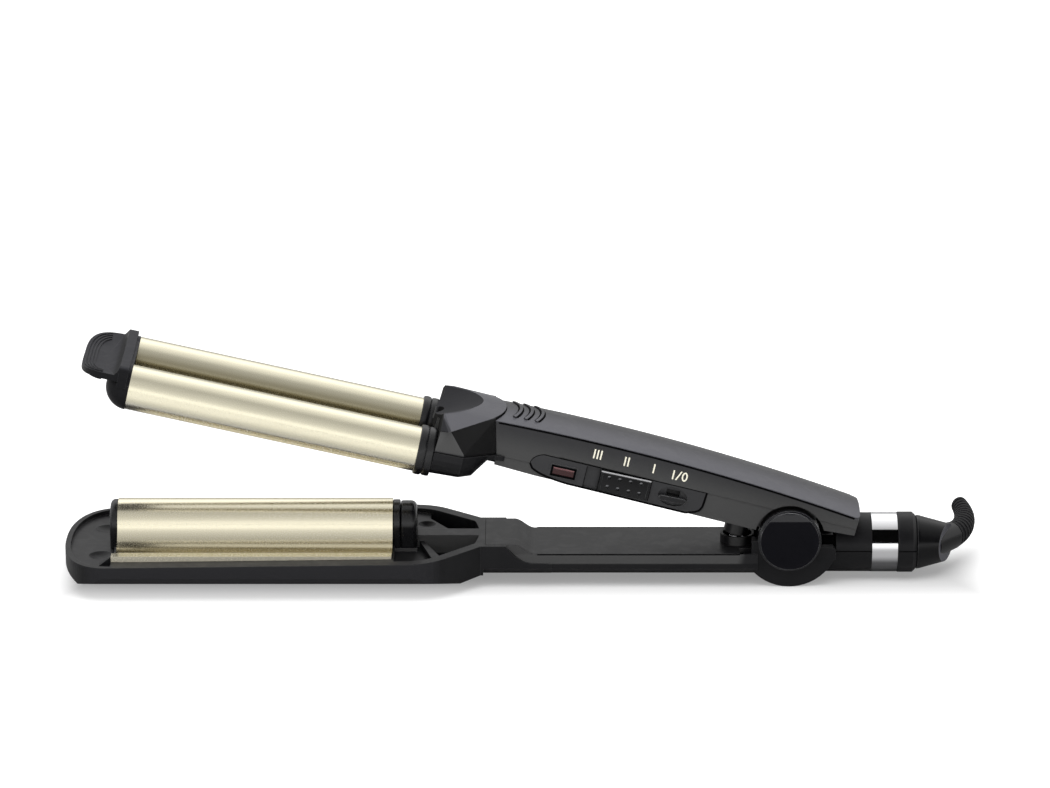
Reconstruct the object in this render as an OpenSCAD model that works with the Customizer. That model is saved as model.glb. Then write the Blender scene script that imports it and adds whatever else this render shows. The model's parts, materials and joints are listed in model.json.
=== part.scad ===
// Triple-barrel hair waver: two heated barrels on the upper arm close over a
// wave-shaped heating plate on the lower arm. Lengths are in millimetres.
// X runs from the tips (-) to the cord (+), Y to the back, Z up from the rest plane.
// Upper-arm parts are drawn with the jaw closed, Z counted from the hinge axis,
// and raised() then lifts them to the resting angle.

/* [Jaw] */
// Angle between the arms at rest, in degrees
open_angle = 12.8; // [8:0.2:14]
// Distance of the hinge axis behind the middle of the waver
hinge_x = 113; // [111:0.5:116]
// Height of the hinge axis above the rest plane
hinge_z = 20.8; // [20.4:0.1:22]

/* [Barrels and plate] */
// Outer diameter of each upper barrel
barrel_d = 19; // [18:0.2:19.4]
// Wall of a barrel tube
barrel_wall = 1.3; // [1:0.1:1.8]
// Distance between the two barrel axes
barrel_pitch = 40; // [39.4:0.2:41]
// Height of the barrel axes above the hinge axis with the jaw closed
barrel_rise = 6.1; // [5.8:0.1:7]
// Exposed length of a barrel
barrel_len = 123.3; // [110:0.1:124]
// Space left for hair between barrel and trough
hair_gap = 0.8; // [0.6:0.1:1.2]
// How far the plate's crest axis lies below the barrel axes
crest_drop = 3.2; // [2.8:0.1:3.6]
// Sheet thickness of the wave plate
plate_t = 1.2; // [0.8:0.1:1.4]
// Length of the wave plate
plate_len = 116.9; // [105:0.1:118]

/* [Lower arm] */
// Width of the tray that holds the wave plate
tray_w = 78; // [76:0.5:82]
// Wall thickness of the lower housing
shell_wall = 2.2; // [1.8:0.1:2.6]
// Height of the tray rim
rim_z = 17.8; // [17.4:0.1:18]
// Width of the lower handle
grip_w = 36.4; // [35.6:0.2:38]
// Height of the lower handle's top face
grip_z = 14.8; // [14.4:0.1:15.2]
// Radius of the hinge boss under the lower arm
boss_r = 20.8; // [20.4:0.1:20.8]
// Radius of the rear cord tube
tube_r = 12.6; // [12:0.1:12.8]
// Height of the cord tube's axis
tube_z = 14.4; // [14:0.1:15]

/* [Upper arm] */
// Width of the upper handle
handle_w = 31; // [30.4:0.2:32]
// Side wall thickness of the upper handle
handle_wall = 2.3; // [2:0.1:2.6]
// Crown height of the handle's top cover
crown = 1.8; // [1.2:0.1:2.2]
// How far the head stands out beyond the barrels on each side
head_side = 1.5; // [1.2:0.1:2]

/* [Hinge] */
// Diameter of the hinge pin
pin_d = 6; // [5:0.5:7]
// Radius of the round cap over each end of the pin
cap_r = 13.4; // [13:0.1:14]
// Radius of the knuckle on the upper arm
knuckle_r = 9.5; // [8.5:0.1:9.8]
// Width of the knuckle
knuckle_w = 19.4; // [18:0.2:20]

/* [Controls] */
// Length of the heat slider's button
slider_len = 21.6; // [20:0.2:22]
// Travel of the heat slider over its three positions
slider_travel = 6; // [5:0.5:6]
// Travel of the on/off slide
power_travel = 2.4; // [2:0.1:2.6]

/* [Cord outlet] */
// Diameter of the strain relief at its thick end
boot_d = 11.4; // [10:0.2:12]
// Diameter of the strain relief at its tip
boot_tip_d = 7.4; // [6:0.2:8]
// Number of ribs on the strain relief
boot_ribs = 13; // [8:1:14]

/* [Hidden] */
$fn = 64;
eps = 0.01;
seat = 0.1; // clearance of pieces that are fixed together
run_fit = 0.05; // radial clearance of a turning shaft
side_gap = 0.3; // clearance beside a moving piece
seam = 0.35; // width of the shadow line between two mouldings

// barrels and wave plate
barrel_r = barrel_d / 2;
half_pitch = barrel_pitch / 2;
barrel_z = hinge_z + barrel_rise;
barrel_x1 = -49.9; // where the barrels enter their rings
barrel_x0 = barrel_x1 - barrel_len;
crest_z = barrel_z - crest_drop;
trough_r = barrel_r + hair_gap;
crest_r = norm([half_pitch, crest_drop]) - trough_r;
tangent_z = crest_z + crest_r * crest_drop / (crest_r + trough_r);
lip_z = rim_z + 0.9; // top of the plate's lips
lip_in = half_pitch + sqrt(pow(trough_r, 2) - pow(barrel_z - lip_z, 2));
lip_out = lip_in + 5;
lip_h = 2.4;
plate_x1 = -55.4;
plate_x0 = plate_x1 - plate_len;
lip_ext = 1.2; // extra length of the lips toward the tip
wave_lap = 0.04; // crest and troughs run into each other by this much

// lower arm stations along X
tip_x = -195;
tip_reach = 21; // depth of the tip's rounding
heel_r = 24; // radius that turns the tray's side into the heel
heel_turn = 43; // angle of the heel's straight flank
tray_x1 = -45.1; // end of the second collar, start of the pockets
neck_x0 = -18.4;
neck_x1 = -3.6;
grip_x0 = 5.2;
neck_z = 18.9;
neck_half = 18.8;
cover_x0 = -15.9; // front edge of the lower cover
grip_bottom = 5.8;
spine_half = 4.2; // half width of the flat beam between the pockets
shelf_z = 13.4; // floor of the front pocket's shallow part
tray_edge_z = 9; // lower edge of the tray's side wall
ledge_z = lip_z - lip_h - 0.05;
floor_z = shell_wall;
cover_half = grip_w / 2 - 1.5;
cover_t = 2;

// hinge and cord tube
boss_half = 16.5;
hub_r = cap_r - 0.2;
hub_in = knuckle_w / 2 + side_gap;
pin_r = pin_d / 2;
cap_face = boss_half + 1.5;
deck_z = 14.4; // top of the lower housing beside the hinge
tube_x0 = 128;
ring_x0 = 148.3;
ring_x1 = 159.4;
collar_x1 = 167.3;
core_r = tube_r - 1.6; // sleeve under the chrome ring and the collar
spindle_r = 5.5;
stop_x = 133; // front end of the cord tube's upper half
cord_z = tube_z;

// return spring under the upper arm
post_x = 91.5;
post_r = 5.1;
post_end = -6.6;
cup_r = 7.3;
well_floor = 8.6;
spring_r = 2.9;
spring_wire = 0.8;

// upper arm stations, jaw closed
head_x0 = -43;
head_half = half_pitch + barrel_r + head_side;
head_reach = -15.9; // point where the head's top ends on the handle
handle_x0 = -20; // front end of the handle at its top edge
handle_lean = 0.243; // the handle's front end slants by this much
handle_x1 = 140.2;
handle_half = handle_w / 2;
arch_r = 1020; // long arch of the handle's top edge
arch_x = 5;
arch_top = 24;
recess_r = hub_r + 1.8;
split_z = 9.5; // joint between the head's two mouldings
belt_z = 14; // step line along the handle's side
belt_slope = -0.0286;
belt_low = 9.1; // height of the step line ahead of the control panel
panel_face = handle_half + 0.1;
room_x0 = -13.8; // front end of the room for the electrics
leaf_under = 22.3; // underside of the head's leaf over the handle
rear_roof = 12.9; // underside of the roof that straddles the cord tube

// ---------- helpers ----------
module along_x(x0, x1) translate([x0, 0, 0]) rotate([90, 0, 90]) linear_extrude(x1 - x0) children();
module along_y(y0, y1) translate([0, y1, 0]) rotate([90, 0, 0]) linear_extrude(y1 - y0) children();
module along_z(z0, z1) translate([0, 0, z0]) linear_extrude(z1 - z0) children();
module x_rod(r, x0, x1) translate([x0, 0, 0]) rotate([0, 90, 0]) cylinder(r = r, h = x1 - x0);
module y_rod(r, y0, y1) translate([0, y1, 0]) rotate([90, 0, 0]) cylinder(r = r, h = y1 - y0);
module z_rod(r, z0, z1) translate([0, 0, z0]) cylinder(r = r, h = z1 - z0);
module both_sides() { children(); mirror([0, 1, 0]) children(); }
module raised() translate([hinge_x, 0, hinge_z]) rotate([0, open_angle, 0]) translate([-hinge_x, 0, 0]) children();
module block(x0, x1, y0, y1, z0, z1) translate([x0, y0, z0]) cube([x1 - x0, y1 - y0, z1 - z0]);

// quarter and half superellipses as outline points, from angle a0 to a1
function power_sign(v, n) = sign(v) * pow(abs(v), n);
function oval(cx, a, b, n, a0, a1, steps) =
    [for (i = [0:steps]) let (t = a0 + (a1 - a0) * i / steps)
        [cx + a * power_sign(cos(t), 2 / n), b * power_sign(sin(t), 2 / n)]];

// ---------- wave plate section ----------
// Solid under the waved surface, set back by t from it and reaching down to base
module under_wave(t, base) difference() {
    union() {
        translate([0, crest_z]) circle(crest_r + wave_lap - t, $fn = 96);
        translate([-half_pitch, base]) square([barrel_pitch, tangent_z - base]);
        translate([-lip_out + t, base]) square([2 * (lip_out - t), lip_z - t - base]);
    }
    for (s = [-1, 1]) translate([s * half_pitch, barrel_z]) circle(trough_r + t, $fn = 96);
}
wave_base = barrel_z - trough_r - plate_t - 0.4;
module wave_sheet() difference() {
    under_wave(0, wave_base);
    under_wave(plate_t, wave_base - 1);
    translate([-half_pitch, 0]) square([barrel_pitch, wave_base]);
    both_edges() translate([lip_in + 1.4, wave_base - 1]) // lips are only folded down a little
        square([lip_out - lip_in, lip_z - lip_h - wave_base + 1]);
}
module both_edges() { children(); mirror([1, 0]) children(); }
module wave_plate() color([0.80, 0.74, 0.60]) {
    along_x(plate_x0, plate_x1) wave_sheet();
    both_sides() along_x(plate_x0 - lip_ext, plate_x0 + 1) difference() { // lips run on toward the tip
        translate([lip_in + 0.7, lip_z - lip_h]) square([lip_out - lip_in - 0.7, lip_h]);
        translate([lip_in - 1, lip_z - lip_h - 1]) square([lip_out - lip_in + 1 - plate_t, lip_h + 1 - plate_t]);
    }
}

// Collars close the two ends of the crest: rounded by e0 toward the tip and by e1 toward the heel
function collar_curve(r, w, e0, e1) = concat([for (a = [-90:15:0]) [r - e0 + e0 * cos(a), e0 + e0 * sin(a)]],
    [for (a = [0:15:90]) [r - e1 + e1 * cos(a), w - e1 + e1 * sin(a)]]);
module rounded_collar(r, x0, x1, e0, e1) {
    w = x1 - x0;
    curve = collar_curve(r, w, e0, e1);
    n = len(curve) - 1;
    intersection() {
        translate([x0, 0, crest_z]) rotate([0, 90, 0]) rotate_extrude($fn = 72)
            polygon(concat([[0, 0]], curve, [[0, w]]));
        block(x0 - 1, x1 + 1, -r - 1, r + 1, crest_z - eps, crest_z + r + 1);
    }
    along_z(ledge_z - 1.4, crest_z) translate([x0, 0])
        polygon(concat([for (i = [0:n]) [curve[i][1], curve[i][0]]], [for (i = [n:-1:0]) [curve[i][1], -curve[i][0]]]));
}
tip_collar_w = 3.3;
module plate_tip_collar() color([0.07, 0.07, 0.075])
    rounded_collar(crest_r - 0.4, plate_x0 - tip_collar_w - seat, plate_x0 - seat, 2.1, 0.3);
module plate_heel_ring() color([0.06, 0.06, 0.065])
    rounded_collar(crest_r - 0.6, plate_x1 + seat, plate_x1 + 3.2, 0.6, 0.6);
module plate_heel_collar() color([0.08, 0.08, 0.085])
    rounded_collar(crest_r - 1, plate_x1 + 3.4, tray_x1, 0.9, 2.6);

// ---------- heating inside the plate ----------
heater_y = 10;
heater_z = 3;
block_bottom = crest_z - 5;
module plate_heat_block() color([0.75, 0.76, 0.78])
    difference() {
        along_x(plate_x0 + 8, plate_x1 - 8) intersection() {
            translate([0, crest_z]) circle(crest_r - plate_t - seat);
            translate([-20, block_bottom]) square([40, 20]);
        }
        block(plate_x0, plate_x1, -heater_y / 2 - seat, heater_y / 2 + seat,
            crest_z - heater_z / 2 - seat, crest_z + heater_z / 2 + seat);
    }
module plate_heater() color([0.85, 0.55, 0.25])
    block(plate_x0 + 14, plate_x1 - 14, -heater_y / 2, heater_y / 2,
        crest_z - heater_z / 2, crest_z + heater_z / 2);
module plate_support() color([0.86, 0.84, 0.78])
    difference() {
        block(plate_x0 + 20, plate_x1 - 10, -6, 6, floor_z + seat, block_bottom - seat);
        for (i = [0:3]) // windows that keep the heat from the housing
            block(plate_x0 + 26 + i * 20, plate_x0 + 40 + i * 20, -7, 7, floor_z + 3, block_bottom - 3);
    }

// ---------- lower housing ----------
// Plan of the tray: rounded tip, straight sides, and a heel that runs straight into the neck
module tray_plan(d) {
    half = tray_w / 2 - d;
    r = heel_r - d;
    turn_x = tray_x1 - 4;
    flank = [turn_x + r * sin(heel_turn), half - r + r * cos(heel_turn)];
    inner = neck_half - d;
    side = concat([for (i = [0:6]) [turn_x + r * sin(heel_turn * i / 6), half - r + r * cos(heel_turn * i / 6)]],
        [[flank[0] + (flank[1] - inner) / tan(heel_turn), inner], [neck_x0 + 1.5, inner]]);
    n = len(side) - 1;
    polygon(concat(oval(tip_x + tip_reach, d - tip_reach, half, 2.35, 90, -90, 48),
        [for (i = [0:n]) [side[i][0], -side[i][1]]], [for (i = [n:-1:0]) side[i]]));
}
// Side profile of the tray: rim line on top, boat-shaped belly below
module tray_side(d, up) polygon([[tip_x - 1, 16 + up], [tip_x - 1, 10], [tip_x + 4, 8.2 + d],
    [tip_x + 16, 3.6 + d], [tip_x + 28, 0.9 + d], [tip_x + 40, d], [-62, d], [-48, 1 + d],
    [-36, 3.2 + d], [-27, 5 + d], [neck_x0, grip_bottom + d], [neck_x0 + 2, grip_bottom + d],
    [neck_x0 + 2, rim_z + 1 + up], [neck_x0 - 2, rim_z + 0.9 + up], [tray_x1, rim_z + up]]);
// Cross-section of the tray with its V-shaped belly
module tray_section(d) {
    half = tray_w / 2 - d;
    polygon([[-half, 30], [-half, tray_edge_z + 2.6], [-half + 1.6, tray_edge_z - 0.3 + d],
        [-13, 0.3 + d], [-10, d], [10, d], [13, 0.3 + d], [half - 1.6, tray_edge_z - 0.3 + d],
        [half, tray_edge_z + 2.6], [half, 30]]);
}
module tray_solid(d, up) intersection() {
    along_z(-1, 30) tray_plan(d);
    along_y(-50, 50) tray_side(d, up);
    along_x(tip_x - 2, neck_x0 + 3) tray_section(d);
}
// Top edge of neck and grip: flat neck, S-shaped step, long grip
function step_line(dz, x_end) = concat([[neck_x0 - 1, neck_z + dz], [neck_x1, neck_z + dz]],
    [for (a = [15:15:165]) [neck_x1 + (grip_x0 - neck_x1) * a / 180,
        (neck_z + grip_z) / 2 + dz + (neck_z - grip_z) / 2 * cos(a)]],
    [[grip_x0, grip_z + dz], [x_end, grip_z + dz]]);
// Cross-sections of the grip: with the sloped band under its top edge, and with plain walls
module grip_section(d) {
    half = grip_w / 2 - d;
    polygon([[-half + 0.7, 40], [-half + 0.7, grip_z], [-half, 10.9], [-half, 8.6],
        [-half + 3, grip_bottom + d], [half - 3, grip_bottom + d], [half, 8.6], [half, 10.9],
        [half - 0.7, grip_z], [half - 0.7, 40]]);
}
module neck_section(d) {
    half = neck_half - d;
    polygon([[-half, 40], [-half, 8.8], [-half + 3.4, grip_bottom + d], [half - 3.4, grip_bottom + d],
        [half, 8.8], [half, 40]]);
}
module grip_solid(d, dz, x0, x1) intersection() {
    union() {
        along_x(x0, x1) grip_section(d);
        intersection() { // the neck's plain wall runs out in a curve into the sloped band
            along_x(x0, 12) neck_section(d);
            along_y(-30, 30) polygon([[neck_x0 - 2, 0], [neck_x0 - 2, 40], [-7.6, 40], [-7.1, 18], [-5, 16.1],
                [-2.3, 13.5], [0.4, 11.9], [3.8, 11.1], [12, 10.9], [12, 0]]);
        }
    }
    along_y(-30, 30) polygon(concat(step_line(dz, x1 + 1), [[x1 + 1, -1], [neck_x0 - 1, -1]]));
}
pocket_floor = 6;
module pocket_plan() intersection() { // both pockets narrow to a point at the neck
    tray_plan(4.8);
    polygon(concat([[plate_x1, -40]], oval(tray_x1, neck_x0 - 0.3 - tray_x1, 40, 2, -90, 90, 32), [[plate_x1, 40]]));
}
back_shelf_z = 15.9; // raised floor of the back pocket beside the collar
module front_shelf() polygon([[plate_x1, -40], [-33.5, -40], [-35.2, -28.6], [-43, -2], [-43, 0], [plate_x1, 0]]);
module back_shelf() polygon([[plate_x1, crest_r + 0.3], [tray_x1 + 0.2, crest_r + 0.3], [tray_x1 + 0.2, 0],
    [-26.5, 3], [-39.8, 25.5], [-39.8, 40], [plate_x1, 40]]);
module pocket_ribs() {
    block(plate_x1 - 1, tray_x1 + 0.2, -crest_r + 0.4, crest_r - 0.4, 3, ledge_z - 1.5); // seat of the heel collars
    block(tray_x1 + 0.1, neck_x0, -spine_half, spine_half, 3, neck_z - 0.05); // flat beam
    along_z(3, rim_z - 1.6) hull() { // broad rib in front
        translate([-43.4, -3.5]) circle(0.8, $fn = 16);
        translate([-35.6, -29]) circle(2.2, $fn = 16);
    }
}
module hinge_boss() {
    intersection() {
        translate([hinge_x, 0, hinge_z]) y_rod(boss_r, -boss_half, boss_half);
        block(80, 140, -20, 20, -1, deck_z);
    }
    both_sides() {
        translate([hinge_x, 0, hinge_z]) y_rod(hub_r, hub_in, boss_half);
        along_y(hub_in, boss_half) polygon([[92, 13], [94, deck_z + 0.8], [97.2, hinge_z - 0.6],
            [104, hinge_z - 0.6], [104, 13]]); // ramp in front of the hub
        along_y(12.9, boss_half) polygon([[122, 12], [122, 17.6], [131.4, 17.6], [132.6, 16.4],
            [132.6, 12]]); // stop block behind the hub
    }
}
module tube_bore() { // room for the cord, the swivel's flange and its spindle
    x_rod(8.9, tube_x0 - 2, 158.3);
    x_rod(spindle_r + run_fit, 158, collar_x1 + 1);
}
module tube_outside(x0) {
    x_rod(tube_r, x0, ring_x0);
    x_rod(core_r, ring_x0 - eps, collar_x1 - 0.4);
}
screw_places = [[-10, 0], [30, 0], [70, 0]];
module lower_shell() color([0.10, 0.10, 0.11]) difference() {
    union() {
        difference() {
            tray_solid(0, 0);
            // room under the plate
            intersection() {
                tray_solid(shell_wall, 12);
                block(plate_x0 + 1, plate_x1 - 1, -lip_in - 2.8, lip_in + 2.8, 0, 30);
            }
            // end walls drop below the troughs
            block(plate_x0 - side_gap, plate_x1 + side_gap, -lip_in - 1, lip_in + 1,
                barrel_z - trough_r - plate_t - 0.2, 30);
            block(plate_x1, plate_x1 + 1, -crest_r, crest_r, ledge_z - 1.6, 30); // seat of the heel collars
            // step for the plate's lips
            block(plate_x0 - lip_ext - seam, plate_x1 + 1, -lip_out - seam, lip_out + seam, ledge_z, 30);
            // shallow deck at the tip, inside the rim
            intersection() {
                along_z(rim_z - 3.5, 30) tray_plan(2.3);
                block(tip_x, plate_x0 - lip_ext, -40, 40, 0, 30);
            }
            // seat of the tip collar
            block(plate_x0 - tip_collar_w - 0.4, plate_x0 + 2, -crest_r, crest_r, ledge_z - 1.5, 30);
            // leaf-shaped dimples beside the collar
            both_sides() translate([plate_x0 - 6.5, 17, rim_z + 3.8]) sphere(9);
            // open pockets under the head
            intersection() {
                union() {
                    along_z(back_shelf_z, 40) pocket_plan();
                    along_z(shelf_z, 40) difference() { pocket_plan(); back_shelf(); }
                    along_z(pocket_floor, 40) difference() { pocket_plan(); back_shelf(); front_shelf(); }
                    translate([-41.3, 18.6, back_shelf_z + 2]) sphere(4.3); // round dimple in the raised floor
                }
                block(plate_x1 + 0.9, neck_x0, -40, 40, 0, 30);
                along_y(-50, 50) tray_side(shell_wall, 12);
                along_x(plate_x1, neck_x0) tray_section(shell_wall);
            }
        }
        intersection() {
            pocket_ribs();
            tray_solid(0.4, 2);
        }
        both_sides() intersection() { // gussets that lead up to the lips
            along_y(lip_in + 1.2, lip_out - 0.6) polygon([[plate_x0 - lip_ext - 5.4, rim_z - 3.6],
                [plate_x0 - lip_ext - 0.3, lip_z - 0.6], [plate_x0 - lip_ext - 0.3, rim_z - 3.6]]);
            tray_solid(1, 4);
        }
        difference() {
            grip_solid(0, -0.1, neck_x0 - 0.5, 99.4);
            grip_solid(shell_wall, 5, neck_x0 + 5, 98);
        }
        // bosses for the screws
        for (p = screw_places) translate([p[0], p[1], 0])
            z_rod(4, grip_bottom + 0.5, (p[0] < neck_x1 ? neck_z : grip_z) - cover_t - seat);
        hinge_boss();
        intersection() {
            translate([0, 0, tube_z]) tube_outside(tube_x0);
            block(120, 180, -20, 20, 0, tube_z - seat / 2);
        }
        block(120, tube_x0 + 1, -tube_r, tube_r, 6, deck_z - 0.1);
    }
    intersection() { // rebate for the top panel
        along_y(-cover_half - seat, cover_half + seat)
            polygon(concat(step_line(5, 97), [for (i = [14:-1:0]) step_line(-cover_t - seat, 97)[i]]));
        block(cover_x0 - seat, 98, -20, 20, 0, 40);
    }
    for (p = screw_places) translate([p[0], p[1], 0]) {
        z_rod(1.7, 0, 20);
        z_rod(3.1, 0, grip_bottom + 2);
    }
    // knuckle pocket, pin bore and pockets of the round caps
    translate([hinge_x, 0, hinge_z]) {
        y_rod(knuckle_r + 0.7, -hub_in, hub_in);
        y_rod(pin_r + 0.02, -20, 20);
        for (s = [-1, 1]) translate([0, s * (boss_half + 3), 0]) y_rod(5 + seat, -4.6, 4.6);
    }
    translate([0, 0, tube_z]) tube_bore();
    block(98, 120, -4, 4, 7.4, 13); // channel for the cable
    translate([post_x, 0, 0]) z_rod(cup_r - 0.3, well_floor - 1.5, 30);
}
module lower_cover() color([0.11, 0.11, 0.12]) difference() {
    along_y(-cover_half, cover_half) polygon(concat(step_line(0, 97 - seat),
        [for (i = [14:-1:0]) step_line(-cover_t, 97 - seat)[i]]));
    block(neck_x0 - 2, cover_x0, -20, 20, 0, 30);
    translate([post_x, 0, 0]) z_rod(cup_r - 0.3, 0, 30);
    for (p = screw_places) translate([p[0], p[1], 0]) z_rod(1.2, 0, grip_z - 0.8);
    block(92, 110, hub_in - side_gap, 30, 0, 30);
    block(92, 110, -30, -hub_in + side_gap, 0, 30);
}
module rear_cover() color([0.10, 0.10, 0.11]) difference() {
    intersection() {
        translate([0, 0, tube_z]) tube_outside(stop_x);
        block(120, 180, -20, 20, tube_z + seat / 2, 40);
    }
    translate([0, 0, tube_z]) tube_bore();
}
module lower_screws() color([0.55, 0.55, 0.57]) for (p = screw_places) translate([p[0], p[1], 0]) {
    z_rod(2.9, grip_bottom + 0.9, grip_bottom + 2 - 0.02);
    z_rod(1.1, grip_bottom + 1, grip_z - 1);
}

// ---------- rear end ----------
module chrome_ring() color([0.85, 0.85, 0.87]) translate([0, 0, tube_z]) difference() {
    x_rod(tube_r + 0.1, ring_x0 + seat, ring_x1 - seat);
    x_rod(core_r + 0.02, ring_x0, ring_x1);
}
module rear_collar() color([0.09, 0.09, 0.10]) translate([ring_x1 + seat, 0, tube_z])
    rotate([0, 90, 0]) rotate_extrude() {
        len = collar_x1 - ring_x1 - seat;
        polygon([[core_r + 0.02, 0], [tube_r, 0], [tube_r + 0.3, 0.4], [tube_r + 0.3, len - 1.3],
            [tube_r - 0.9, len], [core_r + 0.02, len]]);
    }
cone_x0 = collar_x1 + side_gap;
cone_cut = [181.4, 0.4]; // where the slanted end face crosses the axis
module cord_swivel() color([0.08, 0.08, 0.09]) translate([0, 0, cord_z]) {
    difference() {
        union() {
            difference() {
                translate([cone_x0, 0, 0]) rotate([0, 90, 0]) rotate_extrude()
                    polygon([[0, 0], [11.2, 0], [11.5, 0.4], [11.4, 1.4], [6.9, 17.9], [0, 17.9]]);
                translate([cone_cut[0], cone_cut[1], 0]) rotate([0, 0, -25])
                    translate([0, -30, -20]) cube([30, 60, 40]); // slanted end face
            }
            // cuff that leads the cord out backwards
            translate([173.42, -2.5, 0]) rotate([0, 0, 46]) rotate([0, 90, 0])
                cylinder(r1 = boot_d / 2 + 1.2, r2 = boot_d / 2 + 0.2, h = 14.9);
            x_rod(spindle_r, 157.9, cone_x0 + 1);
            x_rod(8, 154.6, 158);
        }
        x_rod(3.2, 150, 175);
        translate([173.42, -2.5, 0]) rotate([0, 0, 46]) x_rod(3.2, 0, 20);
    }
}
// Strain relief: a ribbed cone swept along a rising arc
boot_start = [184.1, 8.54, 0];
boot_len = 26.6;
boot_turn = [46, 112]; // heading at the root and at the tip
boot_arc = boot_len / ((boot_turn[1] - boot_turn[0]) * PI / 180);
function boot_point(t) = let (a = boot_turn[0] + (boot_turn[1] - boot_turn[0]) * t)
    boot_start + [boot_arc * (sin(a) - sin(boot_turn[0])), boot_arc * (cos(boot_turn[0]) - cos(a)), 5.4 * pow(t, 1.5)];
function boot_radius(t, groove) = boot_d / 2 + (boot_tip_d - boot_d) / 2 * t - groove;
boot_sides = 20;
boot_rings = concat([[0, 0]], [for (i = [0:boot_ribs - 1]) let (t = (i + 0.5) / boot_ribs, w = 1 / boot_ribs)
    each [[t - 0.42 * w, 0.9 - 0.3 * t], [t - 0.2 * w, 0], [t + 0.26 * w, 0], [t + 0.44 * w, 0.9 - 0.3 * t]]],
    [[1, 0.5]]);
module cord_boot() color([0.09, 0.09, 0.10]) translate([0, 0, cord_z]) {
    points = [for (r = boot_rings) let (t = r[0], a = boot_turn[0] + (boot_turn[1] - boot_turn[0]) * t,
            c = boot_point(t), rad = boot_radius(t, r[1]))
        for (k = [0:boot_sides - 1]) let (s = 360 * k / boot_sides)
            c + rad * (cos(s) * [-sin(a), cos(a), 0] + sin(s) * [0, 0, 1])];
    n = len(boot_rings);
    polyhedron(points, concat([[for (k = [0:boot_sides - 1]) k]],
        [for (i = [0:n - 2]) for (k = [0:boot_sides - 1]) let (m = (k + 1) % boot_sides)
            [i * boot_sides + m, i * boot_sides + k, (i + 1) * boot_sides + k, (i + 1) * boot_sides + m]],
        [[for (k = [boot_sides - 1:-1:0]) (n - 1) * boot_sides + k]]));
}

// ---------- hinge ----------
module hinge_pin() color([0.7, 0.7, 0.72]) translate([hinge_x, 0, hinge_z])
    y_rod(pin_r, -boss_half + 2, boss_half - 2);
module hinge_cap() {
    rotate([90, 0, 0]) rotate_extrude($fn = 96)
        polygon([[0, boss_half + 0.05], [cap_r, boss_half + 0.05], [cap_r, cap_face - 0.5],
            [cap_r - 0.7, cap_face], [0, cap_face]]);
    y_rod(5, -boss_half - 0.1, -boss_half + 1.4);
}
module hinge_cap_front() color([0.07, 0.07, 0.08]) translate([hinge_x, 0, hinge_z]) hinge_cap();
module hinge_cap_back() color([0.07, 0.07, 0.08]) translate([hinge_x, 0, hinge_z]) mirror([0, 1, 0]) hinge_cap();
module spring_cup() color([0.09, 0.09, 0.10]) translate([post_x, 0, 0]) difference() {
    union() {
        z_rod(cup_r - 0.4, well_floor - 1.4, 16);
        z_rod(cup_r, grip_z + 0.05, 18.8);
    }
    z_rod(cup_r - 1.1, well_floor, 30);
}
spring_top = hinge_z + (hinge_x - post_x) * sin(open_angle) + 0.4;
coil_turns = 7;
coil_steps = 12;
coil_sides = 6;
module return_spring() color([0.75, 0.75, 0.77]) {
    z0 = well_floor + spring_wire / 2 + 0.1;
    rise = spring_top - 0.6 - z0;
    lean = (hinge_x - post_x) * (1 - cos(open_angle));
    n = coil_turns * coil_steps;
    points = [for (i = [0:n]) let (a = 360 * i / coil_steps, c = [post_x + lean * i / n - 0.75 * sin(180 * i / n)
            + spring_r * cos(a), spring_r * sin(a), z0 + rise * i / n])
        for (k = [0:coil_sides - 1]) let (s = 360 * k / coil_sides)
            c + spring_wire / 2 * (cos(s) * [cos(a), sin(a), 0] + sin(s) * [0, 0, 1])];
    polyhedron(points, concat([[for (k = [coil_sides - 1:-1:0]) k]],
        [for (i = [0:n - 1]) for (k = [0:coil_sides - 1]) let (m = (k + 1) % coil_sides)
            [i * coil_sides + k, i * coil_sides + m, (i + 1) * coil_sides + m, (i + 1) * coil_sides + k]],
        [[for (k = [0:coil_sides - 1]) n * coil_sides + k]]));
}

// ---------- upper handle ----------
module arch_disc(d) translate([arch_x, arch_top - arch_r]) circle(arch_r + d, $fn = 1440);
function front_x(z) = handle_x0 + (arch_top - z) * handle_lean; // slanted front end of the handle
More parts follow.
